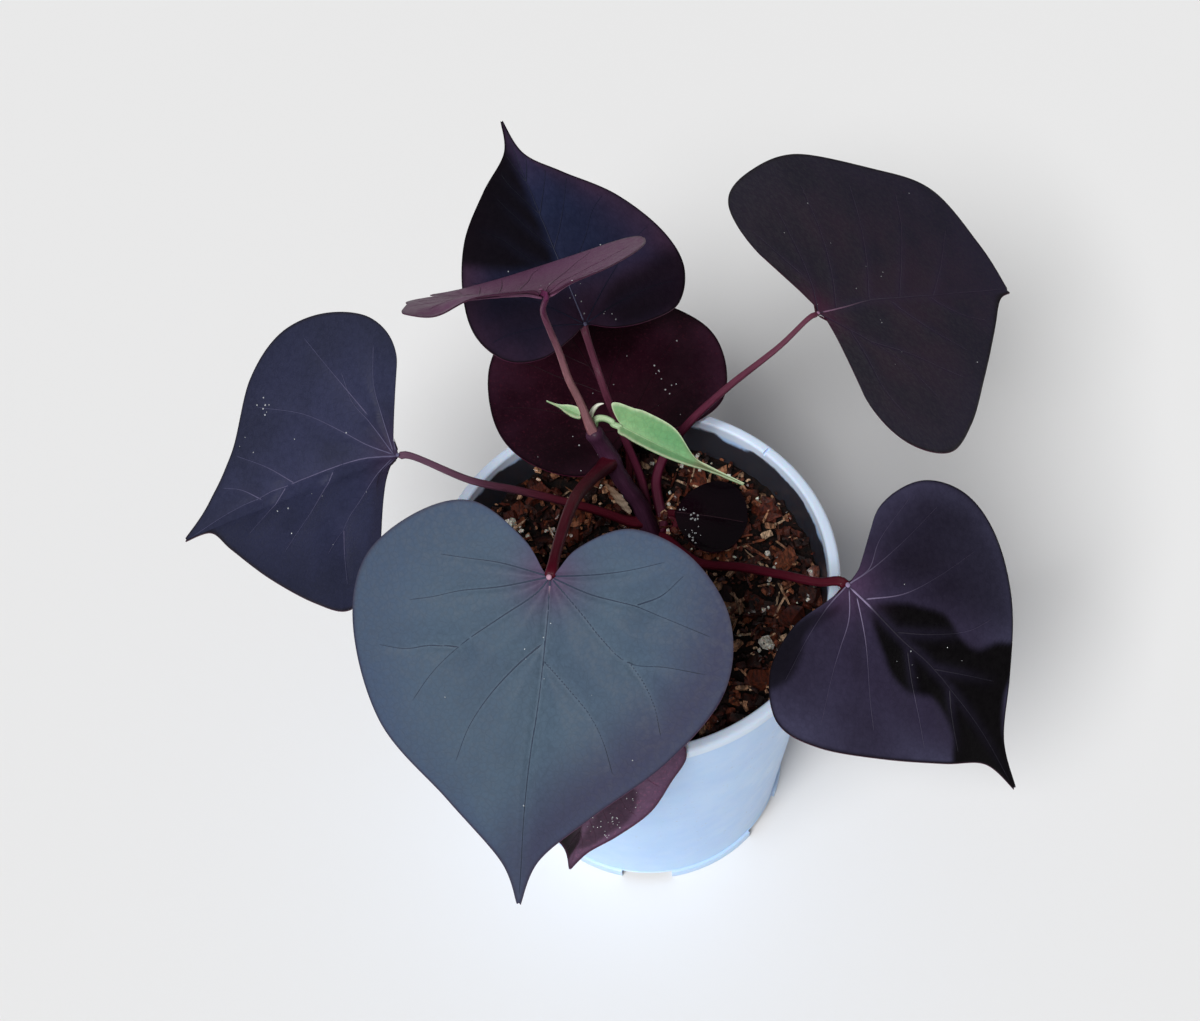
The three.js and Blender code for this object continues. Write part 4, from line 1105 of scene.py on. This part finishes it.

# %% [markdown]
# ## The pot
#
# A nursery pot is one thin moulded shell, so its section is drawn once and spun. Small arcs at
# the lip and the foot catch the light as a sharp corner would not. The drain holes and channels
# are cut afterwards with a Boolean, whose cutter is thrown away.
#
# The wall leans outward, so what is left of the radius after the lean tells the inside from the
# outside at any height, and the painted shade on the inner wall below the lip shows only inside.

# %% Pot plastic
WALL_LEAN = 0.1128
INNER_WALL, LIP_HIGHLIGHT_FROM, INNER_SHADE_TOP = 0.0361, 0.1015, 0.1014  # metres, as object coordinates are
pot_plastic, tree, shader = new_material(
    "pot_plastic", roughness=0.4, subsurface_weight=0.2, subsurface_scale=0.003, coat_weight=0.1)
where = object_place(tree)
haze = ramp(tree, noise_at(tree, where, 28, 3), 0.35, 0.7)
specks = ramp(tree, noise_at(tree, where, 900, 2), 0.66, 0.74)
height = add_node(tree, "ShaderNodeSeparateXYZ", {"Vector": where}).outputs["Z"]
color = mix_color(tree, haze, paint(178, 211, 250), paint(170, 203, 246))
color = mix_color(tree, times(tree, specks, 0.25), color, paint(150, 140, 130))
color = mix_color(tree, ramp(tree, height, 0.0, 0.02, 0.5, 0.0), color, paint(190, 214, 234))
# the top of the lip is painted paler: a painted highlight
color = mix_color(tree, ramp(tree, height, LIP_HIGHLIGHT_FROM, 0.103, 0.0, 0.85), color, paint(218, 232, 250))
level = add_node(tree, "ShaderNodeVectorMath", {0: where, 1: (1, 1, 0)}, operation="MULTIPLY").outputs[0]
radius = add_node(tree, "ShaderNodeVectorMath", {0: level}, operation="LENGTH").outputs["Value"]
leaning = math_node(tree, "SUBTRACT", radius, times(tree, height, WALL_LEAN))
within = ramp(tree, leaning, INNER_WALL, 0.0363, 1.0, 0.0)
edge = math_node(tree, "ADD", height, ramp(tree, noise_at(tree, where, 90, 4), 0.3, 0.7, -0.001, 0.001))
# the inner wall below the lip is painted nearly black: painted shade, with a wavy upper edge
painted_inner_shade = times(tree, within, ramp(tree, edge, INNER_SHADE_TOP, 0.1026, 0.97, 0.0))
color = mix_color(tree, painted_inner_shade, color, paint(32, 23, 24))
tree.links.new(color, shader.inputs["Base Color"])
tree.links.new(ramp(tree, noise_at(tree, where, 160, 4), 0.3, 0.7, 0.3, 0.46), shader.inputs["Roughness"])
bump(tree, shader, noise_at(tree, where, 500, 3), 0.06, 0.0002)

# %% The pot's sizes
POT_HEIGHT, LIP_OUT, LIP_IN, LIP_BAND = 105.5, 50.0, 47.2, 3.4
FOOT_OUT, FOOT_TALL, WALL, FLOOR = 37.9, 3.3, 1.2, 3.4
FOOT_ROUND, LIP_ROUND_OUT, LIP_ROUND_IN = 0.5, 0.9, 0.8
DRAINS, FIRST_DRAIN, DRAIN_REACH, DRAIN_RADIUS = 6, -98, 25, 4
NICK_TURN, WALL_ROWS, SPIN_STEPS = 39.5, 8, 128
print("the pot is", POT_HEIGHT, "mm tall and", 2 * LIP_OUT, "mm over its lip")


# %% Spin and place
def arc(centre, radius, start, stop, steps):
    angles = np.radians(np.linspace(start, stop, steps))
    return [(centre[0] + radius * math.cos(a), centre[1] + radius * math.sin(a)) for a in angles]


def spun(section, steps):
    """A section of (radius, height) in mm, spun round the Z axis."""
    bm = bmesh.new()
    verts = [bm.verts.new((r * MM, 0, z * MM)) for r, z in section]
    edges = [bm.edges.new(pair) for pair in zip(verts, verts[1:])]
    bmesh.ops.spin(bm, geom=verts + edges, cent=(0, 0, 0), axis=(0, 0, 1), angle=2 * math.pi, steps=steps,
                   use_merge=True)
    bmesh.ops.remove_doubles(bm, verts=bm.verts[:], dist=1e-6)
    return bm


def moved(x, y, z):
    return Matrix.Translation((x * MM, y * MM, z * MM))


def sized(x, y, z):
    return Matrix.Diagonal((x * MM, y * MM, z * MM, 1))


def turned(degrees):
    return Matrix.Rotation(math.radians(degrees), 4, "Z")


# %% The pot and what is cut from it
def make_pot():
    under = POT_HEIGHT - LIP_BAND
    low, high = (FOOT_OUT - 0.8, FOOT_TALL + 0.5), (LIP_IN + WALL - 0.3, under - 0.8)
    section = [(0, 0), (12, 0), (24, 0), *arc((FOOT_OUT - FOOT_ROUND, FOOT_ROUND), FOOT_ROUND, -90, 0, 5)]
    section += arc((FOOT_OUT - FOOT_ROUND, FOOT_TALL - FOOT_ROUND), FOOT_ROUND, 0, 90, 5)
    section.append((FOOT_OUT - 0.75, FOOT_TALL + 0.1))
    section += [tuple(a + (b - a) * k / WALL_ROWS for a, b in zip(low, high)) for k in range(WALL_ROWS + 1)]
    section += [(LIP_OUT - 0.9, under - 0.1), *arc((LIP_OUT - 0.5, under + 0.4), 0.5, -90, 0, 4)]
    section += arc((LIP_OUT - LIP_ROUND_OUT, POT_HEIGHT - LIP_ROUND_OUT), LIP_ROUND_OUT, 0, 90, 6)
    section += arc((LIP_IN + LIP_ROUND_IN, POT_HEIGHT - LIP_ROUND_IN), LIP_ROUND_IN, 90, 180, 6)
    section += [(LIP_IN - 0.05, under), (LIP_IN - 0.3, under - 1)]
    section += [(36.4, FLOOR + 1), (35.4, FLOOR), (20, FLOOR), (0, FLOOR)]
    bm = spun(section, SPIN_STEPS)
    bmesh.ops.recalc_face_normals(bm, faces=bm.faces[:])
    return bm


def make_cutter():
    """The round drain holes, a channel and a gap in the foot at each, and the nick in the lip."""
    bm = bmesh.new()
    turns = [turned(FIRST_DRAIN + 360 / DRAINS * i) for i in range(DRAINS)]
    for turn in turns:
        bmesh.ops.create_cone(bm, cap_ends=True, segments=24, radius1=DRAIN_RADIUS * MM,
                              radius2=DRAIN_RADIUS * MM, depth=12 * MM,
                              matrix=turn @ moved(DRAIN_REACH, 0, 0))
    boxes = [turn @ moved(out, 0, 0) @ sized(*size) for turn in turns
             for out, size in ((30.1, (10.2, 14, 4)), (38, (5.8, 14, 6.6)))]
    boxes.append(turned(NICK_TURN) @ moved(47.6, 0, POT_HEIGHT) @ sized(3, 0.7, 2.4))
    for box in boxes:
        bmesh.ops.create_cube(bm, size=1, matrix=box)
    return bm


# %% Cut the pot
def cut_mesh(bm, cutter_bm):
    body, tool = (put_in_scene(key, mesh_from(key, shape))
                  for key, shape in (("uncut", bm), ("cutter", cutter_bm)))
    cut = body.modifiers.new("cut", "BOOLEAN")
    cut.operation, cut.solver, cut.object = "DIFFERENCE", "EXACT", tool
    cut.use_self = True
    result = bpy.data.meshes.new_from_object(body.evaluated_get(bpy.context.evaluated_depsgraph_get()))
    out = bmesh.new()
    out.from_mesh(result)
    for item in (body, tool):
        bpy.data.objects.remove(item)
    return out


pot_bm = cut_mesh(make_pot(), make_cutter())
finish_piece("pot_shell", pot_bm, [pot_plastic], ["pot"], sharp=35)

# %% [markdown]
# ## The potting mix
#
# Damp bark mix is a dark crumbly bed with thousands of loose chips and crumbs on top. The bed is
# a spun disc whose rings are lifted by soft waves and a little noise. For the chips, a handful of
# rough blocks is bevelled and jittered once, and copies of them are scattered, turned and sunk a
# little into the bed.

# %% Mix and bark materials
soil_dark, tree, shader = new_material("mix_crumbs", roughness=0.85, specular_ior_level=0.25)
where = object_place(tree)
crumb = noise_at(tree, where, 900, 6, 0.7)
color = mix_color(tree, ramp(tree, crumb, 0.45, 0.65), paint(10, 5, 5), paint(42, 22, 16))
tree.links.new(color, shader.inputs["Base Color"])
bump(tree, shader, crumb, 1.0, 0.0012)

bark_brown, tree, shader = new_material(
    "bark_chip", coat_weight=0.3, coat_roughness=0.15, specular_ior_level=0.3)
where = object_place(tree)
fibre = add_node(tree, "ShaderNodeMapping", {"Vector": where, "Scale": (1, 0.3, 1)}).outputs[0]
grain = noise_at(tree, fibre, 1500, 5, 0.7)
stops = add_node(tree, "ShaderNodeValToRGB", {"Fac": attribute(tree, "tone")})
for spot, shade in ((0.25, (44, 16, 10)), (0.5, (98, 40, 24)), (0.68, (154, 88, 56)),
                    (0.85, (214, 166, 128))):
    stops.color_ramp.elements.new(spot).color = paint(*shade)
stops.color_ramp.elements[0].color = paint(24, 11, 9)
stops.color_ramp.elements[-1].color = paint(226, 194, 160)
color = mix_color(tree, ramp(tree, grain, 0.4, 0.6, 0.8, 0.0), stops.outputs["Color"], paint(16, 6, 5))
stains = ramp(tree, noise_at(tree, where, 240, 3), 0.5, 0.66, 0.0, 0.4)
color = mix_color(tree, stains, color, paint(104, 42, 24))
tree.links.new(color, shader.inputs["Base Color"])
tree.links.new(ramp(tree, grain, 0.3, 0.7, 0.28, 0.65), shader.inputs["Roughness"])
bump(tree, shader, grain, 1.0, 0.0006)

perlite_white, tree, shader = new_material(
    "perlite", roughness=0.8, subsurface_weight=0.2, subsurface_scale=0.001)
where = object_place(tree)
pores = noise_at(tree, where, 1600, 4, 0.6)
color = mix_color(tree, ramp(tree, pores, 0.4, 0.6), paint(176, 168, 152), paint(238, 234, 224))
tree.links.new(color, shader.inputs["Base Color"])
bump(tree, shader, pores, 0.8, 0.0005)


# %% Make the bed of mix
MIX_TOP, MIX_CROWN, MIX_REACH = 93.9, 0.9, 46.4
BED_RINGS, BED_STEPS, BED_GRAIN = 48, 120, 0.35


def bed_height(x, y):
    """Height in mm of the uneven top of the mix."""
    lumps = 0.9 * math.sin(x * 0.35 + 1.3 * math.sin(y * 0.21)) * math.sin(y * 0.31 + 0.7)
    fine = 0.5 * math.sin(x * 1.3 + y * 0.8) * math.sin(y * 1.1 - x * 0.6)
    return MIX_TOP - MIX_CROWN * (math.hypot(x, y) / 47) ** 2 + lumps + fine


def make_bed():
    bm = spun([(r, 0) for r in np.linspace(0, MIX_REACH, BED_RINGS)], BED_STEPS)
    rng = random.Random(5)
    for vert in bm.verts:
        x, y = vert.co.x / MM, vert.co.y / MM
        vert.co.z = (bed_height(x, y) + rng.uniform(-BED_GRAIN, BED_GRAIN)) * MM
    bmesh.ops.recalc_face_normals(bm, faces=bm.faces[:])
    if bm.faces[0].normal.z < 0:
        bmesh.ops.reverse_faces(bm, faces=bm.faces[:])
    return finish_piece("mix_top", bm, [soil_dark], sharp=60)


make_bed()
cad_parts["potting_mix"].data.materials.clear()
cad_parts["potting_mix"].data.materials.append(soil_dark)


# %% Rough blocks to copy
def rough_block(seed, rounding):
    rng = random.Random(seed)
    bm = bmesh.new()
    bmesh.ops.create_cube(bm, size=1)
    bmesh.ops.bevel(bm, geom=bm.edges[:], offset=rounding, affect="EDGES", segments=1, profile=0.5,
                    material=-1)
    for vert in bm.verts:
        vert.co += Vector((rng.uniform(-0.18, 0.18), rng.uniform(-0.18, 0.18), rng.uniform(-0.2, 0.2)))
    bmesh.ops.triangulate(bm, faces=bm.faces[:])
    return mesh_from("rough_block", bm)


def add_batch(whole, bm):
    """Adding to a small bmesh is quick, so copies are made in batches and joined by the batch."""
    batch = mesh_from("batch", bm)
    whole.from_mesh(batch)
    bpy.data.meshes.remove(batch)


BATCH_SIZE, MOST_TILT = 60, 0.5
BLOCKS = [rough_block(seed, 0.16 + 0.03 * (seed % 3)) for seed in range(8)]
print("each block has", len(BLOCKS[0].polygons), "triangles")


def drop_blocks(name, materials, nodes, blocks, rng):
    """Joins turned and sunk copies of the blocks: (x, y, size, tone, lift, turn or None) each."""
    whole = bmesh.new()
    whole.verts.layers.float.new("tone")
    for start in range(0, len(blocks), BATCH_SIZE):
        bm = bmesh.new()
        tone_layer = bm.verts.layers.float.new("tone")
        for x, y, size, tone, lift, turn in blocks[start:start + BATCH_SIZE]:
            before = len(bm.verts)
            bm.from_mesh(rng.choice(BLOCKS))
            fresh = bm.verts[before:]
            turn = rng.uniform(0, math.tau) if turn is None else math.radians(turn)
            tilts = [Matrix.Rotation(rng.uniform(-MOST_TILT, MOST_TILT), 4, axis) for axis in "XY"]
            turns = Matrix.Rotation(turn, 4, "Z") @ (tilts[0] @ tilts[1])
            place = moved(x, y, bed_height(x, y) + size[2] * 0.3 + lift)
            bmesh.ops.transform(bm, matrix=place @ turns @ sized(*size), verts=fresh)
            for vert in fresh:
                vert[tone_layer] = tone
        add_batch(whole, bm)
    return finish_piece(name, whole, materials, nodes, sharp=30)


# %% Scatter the chips
# the twelve large chips: x and y in mm, turn in degrees
CHIPS = [(-22, 33, 20), (-34, 14, 70), (-25, -4, 130), (-14, -24, 40), (8, -34, 100), (27, -28, 15),
         (37, -12, 60), (36, 20, 150), (20, 33, 95), (38, 4, 25), (17, -16, 170), (-8, 38, 55)]


def scatter(rng, reach):
    radius, angle = reach * math.sqrt(rng.random()), rng.uniform(0, math.tau)
    return radius * math.cos(angle), radius * math.sin(angle)


def loose_blocks(rng, count, reach, long_from, long_to, lift_to, tones):
    blocks = []
    for _ in range(count):
        x, y = scatter(rng, reach)
        long = rng.uniform(long_from, long_to)
        size = (long, long * rng.uniform(0.35, 0.8), long * rng.uniform(0.25, 0.6))
        blocks.append((x, y, size, min(0.98, rng.betavariate(*tones)), rng.uniform(-0.2, lift_to), None))
    return blocks


rng = random.Random(11)
chips = [(x, y, (6.6, 4.2, 3), rng.uniform(0.35, 0.65), 0.4, turn) for x, y, turn in CHIPS]
chips += loose_blocks(rng, 240, 44.2, 2.6, 5.2, 1.2, (1.4, 2.1))
chips += loose_blocks(rng, 900, 45, 1.2, 2.8, 2.4, (1.1, 1.5))
chip_nodes = [f"bark_chip_{i + 1}" for i in range(len(CHIPS))]
drop_blocks("bark_chips", [bark_brown], chip_nodes, chips, rng)
crumbs = loose_blocks(rng, 1500, 45.6, 0.5, 1.3, 2.9, (1.0, 1.5))
for _ in range(240):
    x, y = scatter(rng, 43)
    crumbs.append((x, y, (rng.uniform(3, 6.5), 0.55, 0.4), rng.uniform(0.4, 1), rng.uniform(0.8, 2.4), None))
drop_blocks("bark_crumbs", [bark_brown], (), crumbs, rng)
grains = [(30, -18, (3.4, 2.9, 2.7), 1, 1.4, None), (-30, 24, (3, 2.6, 2.4), 1, 1.4, None),
          (14, 42, (3.2, 2.8, 2.6), 1, 1.4, None)]
for _ in range(120):
    x, y = scatter(rng, 44)
    width = rng.uniform(0.4, 1.3)
    grains.append((x, y, (width, width * 0.8, width * 0.8), 1, 2.0, None))
perlite_nodes = ["perlite_1", "perlite_2", "perlite_3"]
drop_blocks("perlite_grains", [perlite_white], perlite_nodes, grains, rng)

# %% [markdown]
# ## Water drops
#
# The plant has just been watered. Each drop is a low dome of water on its leaf, partly clear
# and partly white, the white a painted highlight; most sit in loose groups where the spray fell.

# %% Water
# the white base colour where the drops are not clear is a painted highlight
water, tree, shader = new_material("water", roughness=0.05, transmission_weight=0.6, ior=1.33)
where = object_place(tree)
tree.links.new(mix_color(tree, noise_at(tree, where, 300), paint(255, 255, 255), paint(236, 244, 250)),
               shader.inputs["Base Color"])

# %% Make the drops
# leaf: groups of (u, v, spread, count, largest radius in mm)
DROPS = {
    "leaf_front": [(0.3, 0, 0.4, 9, 0.2)],
    "leaf_left": [(0.5, -0.36, 0.03, 7, 0.28), (0.66, -0.26, 0.04, 9, 0.28), (0.3, 0.1, 0.3, 9, 0.24)],
    "leaf_rear": [(0.1, 0.0, 0.3, 12, 0.22), (-0.03, -0.12, 0.08, 5, 0.26)],
    "leaf_rear_lower": [(0.05, 0.05, 0.35, 28, 0.24), (0.1, -0.3, 0.12, 6, 0.28)],
    "leaf_right_rear": [(0.35, 0.1, 0.4, 14, 0.18)],
    "leaf_right_front": [(0.25, 0.1, 0.3, 10, 0.2)],
    "leaf_trailing": [(0.62, 0.16, 0.09, 26, 0.22), (0.45, 0.24, 0.1, 14, 0.2)],
    "leaf_young": [(0.0, 0.0, 0.2, 10, 0.2)],
    "leaf_low": [(0.3, -0.3, 0.1, 12, 0.34), (0.28, -0.05, 0.1, 9, 0.36), (0.12, 0.06, 0.05, 5, 0.26)],
}


def make_drops():
    rng = random.Random(21)
    whole = bmesh.new()
    count = 0
    for name, groups in DROPS.items():
        leaf = LEAVES[name]
        spots = np.array([(rng.gauss(u, spread * 0.6), rng.gauss(v, spread * 0.6),
                           largest * rng.uniform(0.35, 1))
                          for u, v, spread, number, largest in groups for _ in range(number)])
        spots = spots[inside_leaf(leaf, spots[:, 0] * 1.03, spots[:, 1] * 1.08)]
        u, v, radii = spots.T
        lift = relief(leaf, u, v)[0] + 0.1 * radii
        bm = bmesh.new()
        for place, normal, radius in zip(on_leaf(leaf, u, v, lift), leaf_normals(leaf, u, v), radii * MM):
            face_up = Vector(normal).to_track_quat("Z", "Y").to_matrix().to_4x4()
            shape = Matrix.Diagonal((radius, radius * rng.uniform(0.8, 1), radius * 0.7, 1))
            bmesh.ops.create_uvsphere(bm, u_segments=10, v_segments=6, radius=1,
                                      matrix=Matrix.Translation(place) @ face_up @ shape)
            count += 1
        add_batch(whole, bm)
    print(count, "drops")
    return finish_piece("water_drops", whole, [water], sharp=80)


make_drops()

# %% [markdown]
# ## Floor, light and camera
#
# The vine stands on a plain pale sheet. One large soft light high on the left gives the broad
# shadow behind the pot, a weaker one opens the shadows, and a pale world fills the rest. The
# camera looks down at the front, turned a little about its own axis.

# %% Floor
floor_paper, tree, shader = new_material("floor_paper", roughness=0.9)
where = object_place(tree)
tree.links.new(mix_color(tree, noise_at(tree, where, 2), paint(234, 234, 234), paint(231, 231, 231)),
               shader.inputs["Base Color"])
bm = bmesh.new()
bmesh.ops.create_grid(bm, x_segments=1, y_segments=1, size=3)
floor = put_in_scene("floor", mesh_from("floor", bm))
floor.data.materials.append(floor_paper)


# %% Lights
def soft_sun(name, towards, power, softness):
    lamp = bpy.data.lights.new(name, "SUN")
    lamp.energy, lamp.angle = power, math.radians(softness)
    holder = put_in_scene(name, lamp)
    holder.rotation_mode = "QUATERNION"
    holder.rotation_quaternion = Vector(towards).to_track_quat("Z", "Y")


soft_sun("key", (-0.42, -0.64, 1), 3.33, 30)
soft_sun("low_fill", (-0.2, -1, 0.3), 0.12, 70)
world = bpy.data.worlds.new("pale_room")
world.use_nodes = True
backdrop = world.node_tree.nodes["Background"].inputs
backdrop["Color"].default_value, backdrop["Strength"].default_value = (1, 1, 1, 1), 0.152
bpy.context.scene.world = world
bpy.context.scene.view_settings.view_transform = "Standard"
print(len(bpy.data.lights), "lights")

# %% Camera
AIM, DISTANCE, LOOK_DOWN, ROLL = (-6.4, 18.5, 105.7), 448, 57.1, -6.7
camera = put_in_scene("camera", bpy.data.cameras.new("camera"))
camera.data.lens, camera.data.sensor_width = 54, 36
camera.data.clip_start, camera.data.clip_end = 0.01, 20
back = Vector((0, -math.cos(math.radians(LOOK_DOWN)), math.sin(math.radians(LOOK_DOWN))))
place = Matrix.Translation((Vector(AIM) + back * DISTANCE) * MM)
camera.matrix_world = (place @ Matrix.Rotation(math.radians(90 - LOOK_DOWN), 4, "X")
                       @ Matrix.Rotation(math.radians(ROLL), 4, "Z"))
bpy.context.scene.camera = camera
print("camera at", [round(c, 3) for c in camera.matrix_world.translation])
